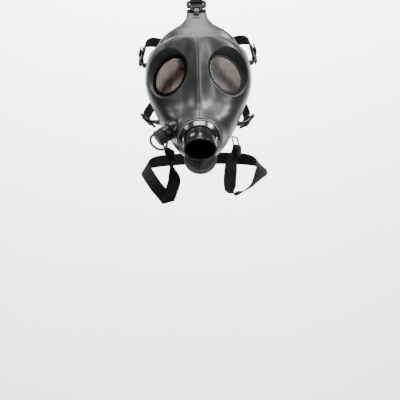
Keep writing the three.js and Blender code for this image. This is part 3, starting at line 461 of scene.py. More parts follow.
w, out, rho = round_about(face, port_centre, port_axis)
boss = np.where(rho < boss_radius, 0, -(rho - boss_radius) * boss_length / boss_flare)
swelled = -soft_min(-w, -boss, boss_round)
inside = np.clip((boss_radius + 0.8 - rho) / 1.6, 0, 1)
swelled = swelled * (1 - inside)
face = face + (np.where(w > -38, swelled - w, 0))[..., None] * port_axis

seam_reach = (face[..., 2] < seam_top) * (rho > boss_radius)
seam = seam_depth * np.exp(-((face[..., 0] / seam_width) ** 2)) * seam_reach
face[..., 1] += seam

# %% [markdown]
# The lens, port and side-port holes are cut out of the grid. Faces that lie wholly in a hole go, and the
# corner points left inside are moved out to its edge, so that each hole has a clean outline. A rubber
# wall of 3 mm is then added on the inside.


# %% Holes and wall
def oval_push(points, side):
    """Distance sign to a lens hole's oval and the same points moved out to it."""
    origin, short, long, normal = lens_frame(side)
    a, b, h = ((points - origin) @ v for v in (short, long, normal))
    ra, rb = lens_short / 2 - lens_lip, lens_long / 2 - lens_lip
    r = np.sqrt((a / ra) ** 2 + (b / rb) ** 2)
    inside = (r < 1) & (np.abs(h) < 12)
    k = 1 / np.maximum(r, 1e-3)
    moved = origin + (a * k)[:, None] * short + (b * k)[:, None] * long + h[:, None] * normal
    return inside, moved


def circle_push(points, centre, axis, radius, low):
    """The same for a round hole about an axis."""
    height, out, rho = round_about(points, centre, axis)
    inside = (rho < radius) & (height > low)
    moved = centre + height[:, None] * axis + out * (radius / np.maximum(rho, 1e-3))[:, None]
    return inside, moved


hole_gap = 0.4
points = face.reshape(-1, 3)
faces = np.array(grid_faces(*face.shape[:2]))
holes = [lambda p: oval_push(p, -1), lambda p: oval_push(p, 1),
         lambda p: circle_push(p, port_centre, port_axis, spout_radius + hole_gap, -25),
         lambda p: circle_push(p, side_centre, side_axis, side_radius + hole_gap, -12)]
for hole in holes:
    inside, moved = hole(points)
    faces = faces[~inside[faces].all(1)]
    points = np.where(inside[:, None], moved, points)
used = np.unique(faces)
renumber = np.full(len(points), -1)
renumber[used] = np.arange(len(used))
skin = add_mesh("face_skin", points[used], renumber[faces].tolist(), closed=False)
outward = np.array([f.normal for f in skin.data.polygons])
centres = np.array([f.center for f in skin.data.polygons])
if (outward * (centres - np.array([0, 0.02, -0.02]))).sum() < 0:
    skin.data.flip_normals()
wall = skin.modifiers.new("wall", "SOLIDIFY")
wall.thickness = rubber_wall * MM
wall.offset = -1
wall.use_even_offset = False
print("holes cut, faces left:", len(faces))

# %% [markdown]
# The rubber is black with a satin skin that goes grey where light rakes over it. It is slightly mottled
# from the mould release and has faint scuffs, and a thin line along the middle seam is painted darker as
# painted shade in the seam's groove. Above the step of the forehead tab it is duller and darker.

# %% Rubber finish
rubber, tree, shader, place = start_material("satin_rubber")
broad = noise(tree, place, 26.0, 4.0, 0.6, 0.5)
fine = noise(tree, place, 260.0, 4.0, 0.7)
tone = ramp(tree, broad, [(0.3, (0.007, 0.007, 0.0075)), (0.72, (0.016, 0.016, 0.0165))])
flow = node(tree, "ShaderNodeMapping", {"Vector": place, "Scale": (1.0, 1.0, 0.3)}).outputs["Vector"]
scuffs = ramp(tree, noise(tree, flow, 330.0, 6.0, 0.8, 0.3), [(0.6, 0.0), (0.74, 1.0)])
tone = mix(tree, maths(tree, "MULTIPLY", scuffs, 0.16), tone, (0.07, 0.07, 0.072, 1))
split = node(tree, "ShaderNodeSeparateXYZ", {"Vector": place})
from_seam = maths(tree, "ABSOLUTE", split.outputs["X"])
# painted shade: a thin dark line is painted along the middle seam, standing for the shade in its groove
seam_painted_shade = ramp(tree, maths(tree, "MULTIPLY", from_seam, 400.0), [(0.2, 1.0), (0.5, 0.0)])
tone = mix(tree, maths(tree, "MULTIPLY", seam_painted_shade, 0.7), tone, (0.006, 0.006, 0.006, 1))
step_stops = [(5 * MM * (tab_step_height - 0.2), 0.0), (5 * MM * (tab_step_height + 0.3), 1.0)]
above_step = ramp(tree, maths(tree, "MULTIPLY", split.outputs["Z"], 5.0), step_stops)
tone = mix(tree, above_step, tone, (0.004, 0.004, 0.004, 1))
shine = maths(tree, "SUBTRACT", 0.28, maths(tree, "MULTIPLY", above_step, 0.24))
tree.links.new(shine, shader.inputs["Specular IOR Level"])
tree.links.new(tone, shader.inputs["Base Color"])
satin = ramp(tree, noise(tree, place, 90.0, 5.0, 0.7), [(0.28, 0.30), (0.75, 0.42)])
tree.links.new(maths(tree, "ADD", satin, maths(tree, "MULTIPLY", above_step, 0.4)),
               shader.inputs["Roughness"])
relief_height = maths(tree, "ADD", maths(tree, "MULTIPLY", broad, 3.0), fine)
relief = node(tree, "ShaderNodeBump", {"Height": relief_height, "Strength": 0.18, "Distance": 0.0008})
tree.links.new(relief.outputs["Normal"], shader.inputs["Normal"])
finish_piece(skin, rubber, "facepiece_rubber", "face_piece")
band_rubber = moulded("tab_rubber", (0.008, 0.008, 0.008), (0.018, 0.018, 0.018), (0.34, 0.5), grain=700.0,
                      bump=0.2)

# %% [markdown]
# ## Lenses
# Each lens is an oval plate of smoked plastic, 2 mm thick with rolled edges, lying on the floor ring of
# its funnel and tilted outwards. It is a polar grid: rings of the same oval from the middle to the edge
# and round to the back.

# %% Lenses
smoke, tree, shader, place = start_material("smoked_plastic")
shader.inputs["Transmission Weight"].default_value = 1.0
shader.inputs["IOR"].default_value = 1.46
haze = noise(tree, place, 60.0, 3.0, 0.6)
tree.links.new(ramp(tree, haze, [(0.3, (0.030, 0.024, 0.021)), (0.7, (0.052, 0.043, 0.038))]),
               shader.inputs["Base Color"])
tree.links.new(ramp(tree, noise(tree, place, 90.0, 3.0, 0.6), [(0.3, 0.15), (0.75, 0.18)]),
               shader.inputs["Roughness"])
ring_angle = circle(96)
for name, side in (("lens_left", -1), ("lens_right", 1)):
    origin, short, long, normal = lens_frame(side)
    share = np.concatenate([np.linspace(0, 1, 9)[:-1], np.ones(4), np.linspace(1, 0, 9)[1:]])
    rise = np.concatenate([np.full(8, 2.3), [2.2, 1.8, 0.8, 0.4], np.full(8, 0.3)])
    trim = np.concatenate([np.zeros(8), [0.25, 0, 0, 0.2], np.zeros(8)])
    across = share * lens_short / 2 - trim
    along = share * lens_long / 2 - trim
    grid = (origin + (across[:, None] * np.cos(ring_angle))[..., None] * short
            + (along[:, None] * np.sin(ring_angle))[..., None] * long + rise[:, None, None] * normal)
    lens = add_mesh(name + "_plate", grid, grid_faces(len(share), 96, loop_columns=True), sharp=50)
    finish_piece(lens, smoke, "smoked_lens", name)

# %% [markdown]
# ## Front port
# A glossy moulded collar holds a short elbow spout. The collar is a turned profile with a soft shoulder.
# The spout is one closed wall: a circle carried out along a line that runs straight and then bends down,
# round a rolled lip, and back inside, where it is matt and painted near-black as painted shade. A plain disc
# with the same painted shade closes it at the bottom, and a thin rubber bead of the facepiece runs round
# the collar, painted pale grey as a painted highlight.

# %% Front port
gloss = moulded("gloss_plastic", (0.003, 0.003, 0.0032), (0.006, 0.006, 0.0063), (0.15, 0.25), grain=500.0,
                bump=0.05, mottle=20.0, shine=1.0, scuff=0.05)
spout_gloss = moulded("spout_plastic", (0.003, 0.003, 0.003), (0.006, 0.006, 0.006), (0.14, 0.24),
                      grain=500.0, bump=0.04, mottle=20.0, shine=0.12, scuff=0.04)
matt = moulded("matt_plastic", (0.005, 0.005, 0.005), (0.012, 0.0115, 0.011), (0.5, 0.7), grain=1300.0,
               bump=0.25)
collar_profile = [(25.9, 0.4), (31.2, 0.4), (31.7, 1.4), (31.4, 3.0), (27.2, 8.7), (26.5, 8.9), (26.0, 7.6),
                  (25.9, 0.4)]
collar_profile = round_corners(collar_profile, 0.7)
collar = turned("port_collar_ring", collar_profile, port_centre, port_axis, sides=144, sharp=50)
finish_piece(collar, gloss, "gloss_plastic", "port_collar")

port_bead_radius, port_bead_tube, port_bead_height = 32.6, 0.9, 0.6
bead_angle = np.linspace(0, 2 * math.pi, 25)
bead_profile = np.stack([port_bead_radius + port_bead_tube * np.cos(bead_angle),
                         port_bead_height + port_bead_tube * np.sin(bead_angle)], -1)
# painted highlight: the bead is coloured pale grey, far lighter than the black rubber, standing for the
# highlight along its rolled top
bead_painted_highlight = moulded("bead_rubber_painted_highlight", (0.09, 0.088, 0.086), (0.15, 0.147, 0.143), (0.4, 0.55), grain=900.0)
port_bead = turned("port_bead", bead_profile, port_centre, port_axis, sides=144)
finish_piece(port_bead, bead_painted_highlight, "facepiece_rubber")

spout_straight, spout_bend, spout_turn = 20.2, 26.6, math.radians(23)
port_up = np.array([0, -math.sin(port_drop), math.cos(port_drop)])
spout_walls = [(25.5, -10.0, 20.2), (25.5, 20.2, 31.6), (25.2, 31.6, 31.9), (24.2, 31.9, 32.0),
               (23.3, 32.0, 31.8), (23.0, 31.8, 20.2), (23.0, 20.2, -10.0)]
spout_steps = [6, 14, 3, 3, 3, 14, 6]
radii, runs = [25.5], [-10.0]
for (radius, start, stop), steps in zip(spout_walls, spout_steps):
    radii += list(np.linspace(radii[-1], radius, steps + 1)[1:])
    runs += list(np.linspace(start, stop, steps + 1)[1:])
radii, runs = np.array(radii), np.array(runs)
angle = np.clip((runs - spout_straight) / spout_bend, 0, spout_turn)
beyond = np.maximum(runs - spout_straight - spout_bend * spout_turn, 0)
line_h = np.minimum(runs, spout_straight) + spout_bend * np.sin(angle) + beyond * np.cos(angle)
line_u = -(spout_bend * (1 - np.cos(angle)) + beyond * np.sin(angle))
spout_sides = 128
ring_angle = circle(spout_sides)[None]
across = radii[:, None] * np.cos(ring_angle)
rise = radii[:, None] * np.sin(ring_angle)
h = line_h[:, None] + rise * np.sin(angle)[:, None]
u = line_u[:, None] + rise * np.cos(angle)[:, None]
grid = port_centre + across[..., None] * np.array([1.0, 0, 0])
grid = grid + h[..., None] * port_axis + u[..., None] * port_up
spout_faces = grid_faces(len(radii), spout_sides, loop_rows=True, loop_columns=True)
spout = add_mesh("port_spout_tube", grid, spout_faces)
finish_piece(spout, spout_gloss, "gloss_plastic", "port_spout")
# painted shade: the spout's inner wall and its seat disc get a near-black colour, darker than the spout
# plastic, standing for the shade inside the tube
inner_black_painted_shade = moulded("inner_black_painted_shade", (0.002, 0.002, 0.002), (0.004, 0.004, 0.004), (0.6, 0.8), shine=0.06)
spout.data.materials.append(inner_black_painted_shade)
inner_faces = np.zeros(len(spout.data.polygons), np.int32)
inner_faces[spout_sides * (sum(spout_steps[:4]) + 1):] = 1
spout.data.polygons.foreach_set("material_index", inner_faces)

seat_profile = [(0, -4.6), (6, -4.8), (8, -5.6), (17, -5.6), (19, -5.2), (22.9, -5.2), (22.97, -5.3),
                (22.97, -7), (0, -7)]
seat_profile = round_corners(seat_profile, 0.6)
seat = turned("port_seat_disc", seat_profile, port_centre, port_axis, sides=96, sharp=50)
# painted shade: the seat disc carries the same near-black painted shade as the spout's inner wall
finish_piece(seat, inner_black_painted_shade, "matt_plastic", "port_seat")

# %% [markdown]
# ## Chin cover
# A dark brown-black rubber dome under the spout, with fine ribs in rings round its pole and a smooth rim.
# The ribs are a sine added to the radius along the profile. Where the dome meets the collar and the spout
# it is pushed outwards round them, as soft rubber sits on a hard ring.

# %% Chin cover
chin_centre, chin_tilt = np.array([0, -98.0, -138.0]), 35
chin_radius, chin_height, chin_rim, chin_ribs, rib_half_depth = 25.5, 25.0, 3.0, 17, 0.6
chin_turn = math.pi + math.radians(90 - chin_tilt)
chin_axis = np.array([0, math.cos(chin_turn), math.sin(chin_turn)])
t = np.linspace(0, 1, 150)
arc = (math.pi / 2) * t
ribbed_part = np.clip((t - 0.06) / 0.05, 0, 1) * np.clip((0.99 - t) / 0.08, 0, 1)
rib = -rib_half_depth * (1 - np.cos(2 * math.pi * chin_ribs * t)) * ribbed_part
dome = np.stack([(chin_radius + rib) * np.cos(arc),
                 chin_rim + (chin_height - chin_rim + rib) * np.sin(arc)], -1)
dome[-1, 0] = 0
chin_profile = np.vstack([[(0, 0.0), (24.5, 0.0), (25.3, 0.6), (25.5, 1.6)], dome])
chin = turned("chin_dome", chin_profile, chin_centre, chin_axis, sides=120)
co = np.empty(len(chin.data.vertices) * 3)
chin.data.vertices.foreach_get("co", co)
co = co.reshape(-1, 3) / MM
w, out, rho = round_about(co, port_centre, port_axis)
limit = np.where(w < 9.3, 32.1, 25.85)
limit = np.where(w > -1, limit, 0)
co = port_centre + w[:, None] * port_axis + out * (np.maximum(rho, limit) / np.maximum(rho, 1e-3))[:, None]
chin.data.vertices.foreach_set("co", (co * MM).ravel())
ribbed = moulded("ribbed_rubber", (0.008, 0.0062, 0.0056), (0.020, 0.0158, 0.014), (0.4, 0.55), grain=800.0,
                 bump=0.2, scuff=0.2)
finish_piece(chin, ribbed, "ribbed_rubber", "chin_cover")

# %% [markdown]
# ## Side port
# A short glossy tube stands on the cheek in a flanged base. Its screw cap is matt, with deep grip slots
# round it. All three are turned profiles; the cap's slots are cut by making the radius smaller in a
# rounded square wave of the angle.

# %% Side port
base_profile = [(13.4, -6), (15.6, -6), (15.9, 2.4), (15.2, 3.9), (13.9, 4.2), (13.4, 3.6), (13.4, -6)]
base_profile = round_corners(base_profile, 0.8)
base = turned("side_port_flange", base_profile, side_centre, side_axis, sides=96, sharp=50)
finish_piece(base, spout_gloss, "gloss_plastic", "side_port_base")
tube_profile = [(10.8, -8), (13.1, -8), (13.1, 6.2), (13.2, 7.0), (12.9, 7.6), (12.9, 9.4), (13.2, 10),
                (13.2, 14.6), (12.7, 15), (11.2, 15), (10.8, 14.6), (10.8, -8)]
tube_profile = round_corners(tube_profile, 0.5)
body = turned("side_port_tube", tube_profile, side_centre, side_axis, sides=96, sharp=50)
finish_piece(body, spout_gloss, "gloss_plastic", "side_port_body")


def grip_slots(radius, angle, height):
    """Sixteen slots: the radius drops by 0.9 mm in a softened square wave between the cap's ends."""
    wave = np.clip(1.8 * np.cos(16 * angle) + 0.3, 0, 1)
    band = np.clip((height - 16.4) / 0.8, 0, 1) * np.clip((26.2 - height) / 0.8, 0, 1)
    return radius - 0.9 * wave * band * (radius > 11), height


cap_heights = np.linspace(16.0, 26.4, 16)
cap_side = np.stack([np.full(16, 12.6), cap_heights], -1)
cap_profile = np.vstack([[(0, 15.3), (11.6, 15.3), (12.3, 15.6)], cap_side,
                         [(12.2, 27.0), (11.4, 27.3), (9.2, 27.3), (8.9, 26.7), (5.0, 26.6), (0, 26.6)]])
cap = turned("side_port_screw_cap", cap_profile, side_centre, side_axis, sides=256, shape=grip_slots,
             sharp=60)
cap_look = moulded("cap_plastic", (0.003, 0.0029, 0.0027), (0.008, 0.0077, 0.0073), (0.42, 0.58),
                   grain=1200.0, bump=0.25, scuff=0.2, shine=0.1)
finish_piece(cap, cap_look, "matt_plastic", "side_port_cap")

# %% [markdown]
# ## Buckles and harness straps
# Each strap end is folded round the outer bar of a slotted buckle, and the buckle's foot holds a rubber
# tab of the facepiece. The buckle is a frame, two bars and a small foot loop, all with the rounded section
# of moulded plastic. The straps run back over the head to a pad, on the same points as the CAD straps.

# %% Harness tables
head_centre, head_radii = np.array([0, 5.0, 20.0]), np.array([78.0, 99.0, 97.0])
strap_thickness, strap_lift, buckle_thickness = 1.5, 1.8, 4.0
pad_end_lift = 1 + 3 + strap_thickness / 2 + 2 * clearance
wrap_radius = buckle_thickness / 2 + clearance + strap_thickness / 2 + 0.4
# Name: foot, away, over, end, width, tab root
straps = {
    "top": ([0, -66.1, 90.5], [0, 0.66, 0.75], [0, 20, 110], [0, 93, 60], 20, None),
    "temple_left": ([-89.5, -35, 15], [0.06, 0.66, 0.75], [-76, 30, 56], [-27, 88, 45], 16, [-79.5, -45, 10]),
    "temple_right": ([89.5, -35, 15], [-0.06, 0.66, 0.75], [76, 30, 56], [27, 88, 45], 16, [79.5, -45, 10]),
    "jaw_left": ([-78, -34, -79], [-0.2, 0.9, 0.25], [-70, 45, -38], [-22, 92, 16], 16, [-61, -41, -80]),
    "jaw_right": ([74, -34, -85], [0.1, 0.9, 0.3], [70, 45, -38], [22, 92, 16], 16, [59, -43, -85]),
}


def on_head(direction, lift):
    """Where rays from the head's centre leave its ellipsoid, raised by lift along the normal."""
    direction = np.atleast_2d(np.asarray(direction, float))
    point = direction / np.linalg.norm(direction / head_radii, axis=1, keepdims=True)
    normal = unit(point / head_radii**2)
    return point + head_centre + lift * normal, normal


def buckle_axes(foot, away):
    """Foot, strap direction, direction away from the head, and direction across the strap."""
    foot, away = np.array(foot, float), unit(away)
    from_head = foot - head_centre
    normal = unit(from_head - away * (from_head @ away))
    return foot, away, normal, np.cross(away, normal)


def loop_line(outline, count, radius):
    """A closed outline with rounded corners, evenly spaced."""
    p = np.asarray(outline, float)
    closed = np.vstack([0.5 * (p[-1] + p[0]), p, 0.5 * (p[-1] + p[0])])
    curve = round_corners(closed, radius, 6)
    length = run_along(curve)
    at = np.linspace(0, length[-1], count, endpoint=False)
    return np.stack([np.interp(at, length, curve[:, i]) for i in range(2)], -1)


def buckle(name, foot, away):
    """Buckle frame, bars and foot loop: rounded sections carried along lines in the buckle's plane."""
    foot, away, normal, across = buckle_axes(foot, away)
    plane = lambda uv: foot + np.asarray(uv)[:, :1] * across + np.asarray(uv)[:, 1:2] * away
    grids = []
    frame_line = plane(loop_line([(-13.2, 11.2), (13.2, 11.2), (13.2, 22.4), (-13.2, 22.4)], 96, 2.4))
    foot_line = plane(loop_line([(-5.4, 1.7), (5.4, 1.7), (9.2, 9.8), (-9.2, 9.8)], 72, 2.6))
    for line, breadth in ((frame_line, 4.9), (foot_line, 3.8)):
        grids.append((carry(line, normal, round_section(4.2, breadth, 5.0), loop=True), True))
    for v in (10.0, 15.0):
        bar = plane(np.stack([np.linspace(-12.6, 12.6, 12), np.full(12, v)], -1))
        grids.append((carry(bar, normal, round_section(3.2, 2.6, 3.0)), False))
    points, faces, start = [], [], 0
    for grid, loop in grids:
        rows, sides = grid.shape[:2]
        made = grid_faces(rows, sides, loop_rows=loop, loop_columns=True)
        if not loop:
            made += [list(range(sides))[::-1], list(range((rows - 1) * sides, rows * sides))]
        faces += [[i + start for i in f] for f in made]
        points.append(grid.reshape(-1, 3))
        start += rows * sides
    return add_mesh(name, np.vstack(points), faces)


# %% [markdown]
# The webbing has a rounded flat section with a slightly thicker woven edge. Its UV map runs across and
# along the strap in millimetres, so the weave keeps its size on every strap: fine ribs across with a
# twill slant, and a tighter edge cord on each side.


# %% Webbing section and finish
def webbing_section(width, thickness, sides=18):
    """Upper then lower side from edge to edge: thickness swells by a tenth at the two selvedges."""
    u = np.linspace(-1, 1, sides)
    selvedge = 1 + 0.12 * np.exp(-(((np.abs(u) - 0.9) / 0.06) ** 2))
    bulge = thickness / 2 * (1 - np.abs(u) ** 14) ** 0.5 * selvedge
    upper = np.stack([u * width / 2, bulge], -1)
    lower = np.stack([u[::-1] * width / 2, -bulge[::-1]], -1)
    return np.vstack([upper, lower[1:-1]])


def strap_mesh(name, line, across, width, thickness, slant=0.0):
    section = webbing_section(width, thickness)
    grid = carry(line, across, section, slant=slant)
    length = run_along(line)
    uv = np.stack(np.broadcast_arrays(section[None, :, 0], length[:, None]), -1)
    return tube(name, grid, uv=uv, sharp=50), length[-1]


def webbing_material(name, low, high, rough=(0.8, 1.0)):
    """Woven tape: sine ribs across and along the UV map beat into a weave that bumps the surface and
    darkens its gaps; a fluffier noise breaks it up."""
    made, tree, shader, place = start_material(name)
    uv = node(tree, "ShaderNodeUVMap", uv_map="UVMap").outputs["UV"]
    split = node(tree, "ShaderNodeSeparateXYZ", {"Vector": uv})
    u, v = split.outputs["X"], split.outputs["Y"]
    warp = maths(tree, "SINE", maths(tree, "MULTIPLY", u, 2 * math.pi / 1.5))
    ribs = maths(tree, "MULTIPLY", v, 2 * math.pi / 1.1)
    slant = maths(tree, "ADD", ribs, maths(tree, "MULTIPLY", u, 1.9))
    weave = maths(tree, "MULTIPLY", warp, maths(tree, "SINE", slant))
    fluff = noise(tree, place, 700.0, 4.0, 0.7)
    height = maths(tree, "ADD", maths(tree, "MULTIPLY", weave, 0.5), fluff)
    worn = noise(tree, place, 40.0, 4.0, 0.6)
    factor = maths(tree, "ADD", maths(tree, "MULTIPLY", weave, 0.22), worn, clamp=True)
    tree.links.new(ramp(tree, factor, [(0.3, low), (0.75, high)]), shader.inputs["Base Color"])
    tree.links.new(ramp(tree, fluff, [(0.3, rough[0]), (0.7, rough[1])]), shader.inputs["Roughness"])
    relief = node(tree, "ShaderNodeBump", {"Height": height, "Strength": 0.5, "Distance": 0.0005})
    tree.links.new(relief.outputs["Normal"], shader.inputs["Normal"])
    shader.inputs["Specular IOR Level"].default_value = 0.04
    return made


webbing = webbing_material("black_webbing", (0.003, 0.003, 0.0033), (0.009, 0.009, 0.0098))
neck_webbing = webbing_material("neck_webbing", (0.0036, 0.0034, 0.0036), (0.012, 0.011, 0.011))
buckle_plastic = moulded("buckle_plastic", (0.003, 0.003, 0.003), (0.007, 0.007, 0.007), (0.36, 0.5),
                         grain=800.0, bump=0.12, shine=0.08)


def bar_wrap(bar, away, normal, tail):
    """Points of a strap end folded round a bar: the tail outside, then a half circle to the inside."""
    turn = np.linspace(0, math.pi, 7)[:, None]
    arc = bar + wrap_radius * (np.cos(turn) * normal - np.sin(turn) * away)
    return np.vstack([[bar + tail * away + wrap_radius * normal], arc])


# %% Straps, buckles and tabs
strap_stations, turn_start, turn_run = 170, 26, 60
tab_stations, tab_root_width, tab_end_width = 60, 12, 7.5
for key, (foot, away, over, end, width, tab) in straps.items():
    foot, away, normal, across = buckle_axes(foot, away)
    names = (key.replace("_", "_buckle_") if "_" in key else key + "_buckle",
             key.replace("_", "_strap_") if "_" in key else key + "_strap")
    part = buckle(names[0] + "_frame", foot, away)
    finish_piece(part, buckle_plastic, "gloss_plastic", names[0])
    bar = foot + away * 22.5
    wrap = bar_wrap(bar, away, normal, 0.6 * width)
    leave = bar + 6 * away - wrap_radius * normal
    over, end = np.array(over, float), np.array(end, float)
    route = np.vstack([leave, leave + 14 * away, on_head(over - head_centre, strap_lift)[0],
                       on_head(over + 0.8 * (end - over) - head_centre, pad_end_lift)[0],
                       on_head(end - head_centre, pad_end_lift)[0]])
    route = smooth_line(route, 17)
    line = smooth_line(np.vstack([wrap, route]), strap_stations)
    along = unit(np.gradient(line, axis=0))
    flat = unit(np.cross(along, on_head(line - head_centre, 0)[1]))
    length = run_along(line)
    share = np.clip((length - turn_start) / turn_run, 0, 1)[:, None]
    share = share * share * (3 - 2 * share)
    turn = unit((1 - share) * across + share * flat)
    strap, size = strap_mesh(names[1] + "_webbing", line, turn, width, strap_thickness)
    finish_piece(strap, webbing, "webbing", names[1])
    print(f"{names[1]}: {size:.0f} mm long")
    if tab is None:
        tab_root = foot - 9 * away - 2.6 * normal
    else:
        tab_root = np.array(tab, float)
    fold = np.array([(-2.5, -3.2), (3.2, -3.0), (5.6, -0.2), (3.4, 2.9), (-1.5, 2.3), (-5.0, -0.4)])
    through = np.vstack([tab_root - 0.2 * (foot - tab_root),
                         foot + fold[:, :1] * away + fold[:, 1:] * normal])
    tab_line = smooth_line(through, tab_stations)
    s = np.linspace(0, 1, tab_stations)[:, None, None]
    tab_width = tab_root_width - (tab_root_width - tab_end_width) * np.clip(s / 0.35, 0, 1)
    section = round_section(1, 1, 6.0, 24)[None] * np.concatenate([tab_width, np.full_like(s, 2.0)], -1)
    tab_piece = tube(names[0].replace("buckle", "tab"), carry(tab_line, across, section), sharp=50)
    finish_piece(tab_piece, band_rubber, "facepiece_rubber")

# %% [markdown]
# ## Head pad
# The five straps meet at a plain oval pad behind the head, which the photograph doesn't show. It is a
# patch of the head's ellipsoid, raised and rounded off at its edge, with a shallow pressed border.

# %% Head pad
pad_columns = 120
share = np.concatenate([np.linspace(0, 1, 36), np.ones(4), np.linspace(1, 0, 24)])
lift = np.concatenate([np.full(32, 4.0), [3.95, 3.85, 3.6, 3.1, 2.4, 1.9, 1.5, 1.2], np.full(24, 1.0)])
lift = lift - 0.5 * np.exp(-(((share - 0.86) / 0.02) ** 2)) * (lift > 3)
angle = circle(pad_columns)
power = 2.4
reach = (np.abs(np.cos(angle)) ** power + np.abs(np.sin(angle)) ** power) ** (-1 / power)
pad_half_width, pad_half_height, pad_middle = 36.5, 32.5, 18
x = share[:, None] * pad_half_width * reach * np.cos(angle)
z = share[:, None] * pad_half_height * reach * np.sin(angle) + pad_middle
direction = np.stack([x, np.full_like(x, head_radii[1]), z], -1)
surface, normal = on_head(direction.reshape(-1, 3), 0)
grid = (surface + np.repeat(lift, pad_columns)[:, None] * normal).reshape(len(share), pad_columns, 3)
pad = add_mesh("head_pad_plate", grid, grid_faces(len(share), pad_columns, loop_columns=True))
finish_piece(pad, matt, "matt_plastic", "head_pad")

# %% [markdown]
# ## Neck strap and its wire loops
# One loop of webbing hangs from wire loops under both jaws, dips in front on each side and goes round
# behind the neck. It is the same flat section carried along a smooth line through the CAD rows, and its
# across direction turns with it. The wire loops are a round section carried along closed outlines.

# %% Neck strap
left_eye, right_eye = np.array([-51.5, -58, -110.5]), np.array([54.0, -55, -106])
ring_wire, hook_wire, ring_radius, lug_hole, neck_strap_width = 0.7, 1.2, 5.4, 2.3, 20
ring_centre = left_eye + [0, 0, ring_wire + 2 * clearance - lug_hole - ring_radius]
left_top = ring_centre + [0, 0, ring_wire + hook_wire + clearance - ring_radius]
neck_loops = {"neck_hook": (left_top, np.array([-47.8, -62, -125.5]), np.array([0.3, 0.95, 0])),
              "jaw_ring": (right_eye, np.array([57.5, -57, -122]), np.array([0.35, 0.93, 0]))}
# Columns: place (3), across (3), slant
neck_rows = np.array([
    (-46.5, -63, -139, 0.25, 0.97, 0, 0), (-45, -63, -150.7, 0.3, 0.95, 0, 0),
    (-42.8, -63.5, -161.5, 0.75, 0.66, 0.05, 0), (-41.6, -64, -171.7, 0.98, 0.15, -0.1, 0),
    (-44.3, -64.4, -182, 0.97, 0, -0.25, 0), (-48.2, -64.2, -192, 0.95, 0, -0.3, 0),
    (-51.7, -63.7, -202.2, 0.97, 0, 0.22, 1), (-52.3, -62, -205.6, 0.97, 0, 0.22, 1),
    (-53.6, -60.3, -202.2, 0.97, 0, 0.22, 1), (-60, -58.6, -193, 0.83, 0.05, 0.55, 0),
    (-69.3, -55, -181.7, 0.83, 0.1, 0.55, 0), (-76.5, -48, -171, 0.8, 0.2, 0.56, 0),
    (-83.3, -34, -160.5, 0.72, 0.3, 0.62, 0), (-88, -10, -151, 0.6, 0.15, 0.78, 0),
    (-85, 20, -144, 0.45, -0.05, 0.89, 0), (-72, 50, -139, 0.25, -0.2, 0.95, 0),
    (-42, 80, -135.5, 0.05, -0.25, 0.97, 0), (0, 92, -134, 0, -0.25, 0.97, 0),
    (44, 81, -135.5, -0.05, -0.25, 0.97, 0), (76, 52, -139, -0.25, -0.2, 0.95, 0),
    (92, 18, -145, -0.5, -0.1, 0.86, 0), (97, -14, -152.5, -0.75, 0.15, 0.6, 0),
    (95, -38, -163, -0.6, 0.6, 0.5, 0), (86, -52, -175.5, -0.2, 0.94, 0.25, 0),
    (75, -60, -186, -0.02, 0.99, 0.1, 0), (63.5, -65, -192.5, 0.1, 0.98, -0.05, 0),
    (52.5, -67.5, -194, 0.5, 0.8, -0.35, 0), (46, -67.5, -187.5, 0.9, 0.38, -0.2, 0),
    (45, -67, -176, 0.98, 0.15, 0, 0), (46.4, -66, -160.6, 1, 0.05, 0, 0),
    (48.8, -63, -146, 0.85, 0.5, 0, 0), (53, -60, -135.5, 0.6, 0.8, 0, 0)])


def loop_axes(top, bar, across):
    down = unit(bar - top)
    return down, unit(across - down * (across @ down))


def neck_end(top, bar, across):
    """Rows of the folded end at one wire loop, with the across direction in the last three columns."""
    _, level = loop_axes(top, bar, across)
    away = unit(np.array([0, 0, -1.0]) + level * level[2])
    normal = unit(np.cross(away, level))
    points = bar_wrap(bar, away, normal, 14.0)
    return np.hstack([points, np.broadcast_to(level, points.shape), np.zeros((len(points), 1))])


first = neck_end(*neck_loops["neck_hook"])
last = neck_end(*neck_loops["jaw_ring"])[::-1]
below = np.array([0, 0, 4, 0, 0, 0, 0])
neck = smooth_line(np.vstack([first, first[-1] - below, neck_rows, last[0] - below, last]), 640)
neck_strap, neck_length = strap_mesh("neck_strap_webbing", neck[:, :3], neck[:, 3:6], neck_strap_width,
                                     strap_thickness, neck[:, 6:])
finish_piece(neck_strap, neck_webbing, "webbing", "neck_strap")
print(f"neck strap: {neck_length:.0f} mm long")

# %% Wire loops
wire_look = moulded("dark_wire", (0.006, 0.006, 0.006), (0.014, 0.014, 0.0145), (0.45, 0.6),
                    grain=1500.0, bump=0.1, shine=0.08)
loop_half_width = 12.2
for key, (top, bar, across) in neck_loops.items():
    down, level = loop_axes(top, bar, across)
    half_height = np.linalg.norm(bar - top) / 2
    outline = np.array([(-1, -1), (1, -1), (1, 1), (-1, 1)]) * (loop_half_width, half_height)
    flat = loop_line(outline, 120, 3.4)
    line = 0.5 * (top + bar) + flat[:, :1] * level + flat[:, 1:] * down
    section = round_section(2 * hook_wire, 2 * hook_wire, sides=14)
    wire = tube(key + "_wire", carry(line, np.cross(level, down), section, loop=True), loop=True)
    finish_piece(wire, wire_look, "dark_wire", key)
angle = circle(72)[:, None]
line = ring_centre + ring_radius * (np.cos(angle) * [1, 0, 0] + np.sin(angle) * [0, 0, 1])
section = round_section(2 * ring_wire, 2 * ring_wire, sides=12)
wire = tube("neck_ring_wire", carry(line, (0, 1, 0), section, loop=True), loop=True)
finish_piece(wire, wire_look, "dark_wire", "neck_ring")

# %% [markdown]
# ## Floor and light
# The photograph has a white ground and soft light from above and in front, with bright streaks down both
# sides. A pale sweep stands behind and well below the mask, so that little light comes back from under it.
# A broad lamp hangs above and in front. Two more stand high at the sides and light the lower walls of the
# eye funnels, and two tall ones stand beside the camera. Two narrow ones overhead draw the streaks along
# the spout, and the last lights the sweep.

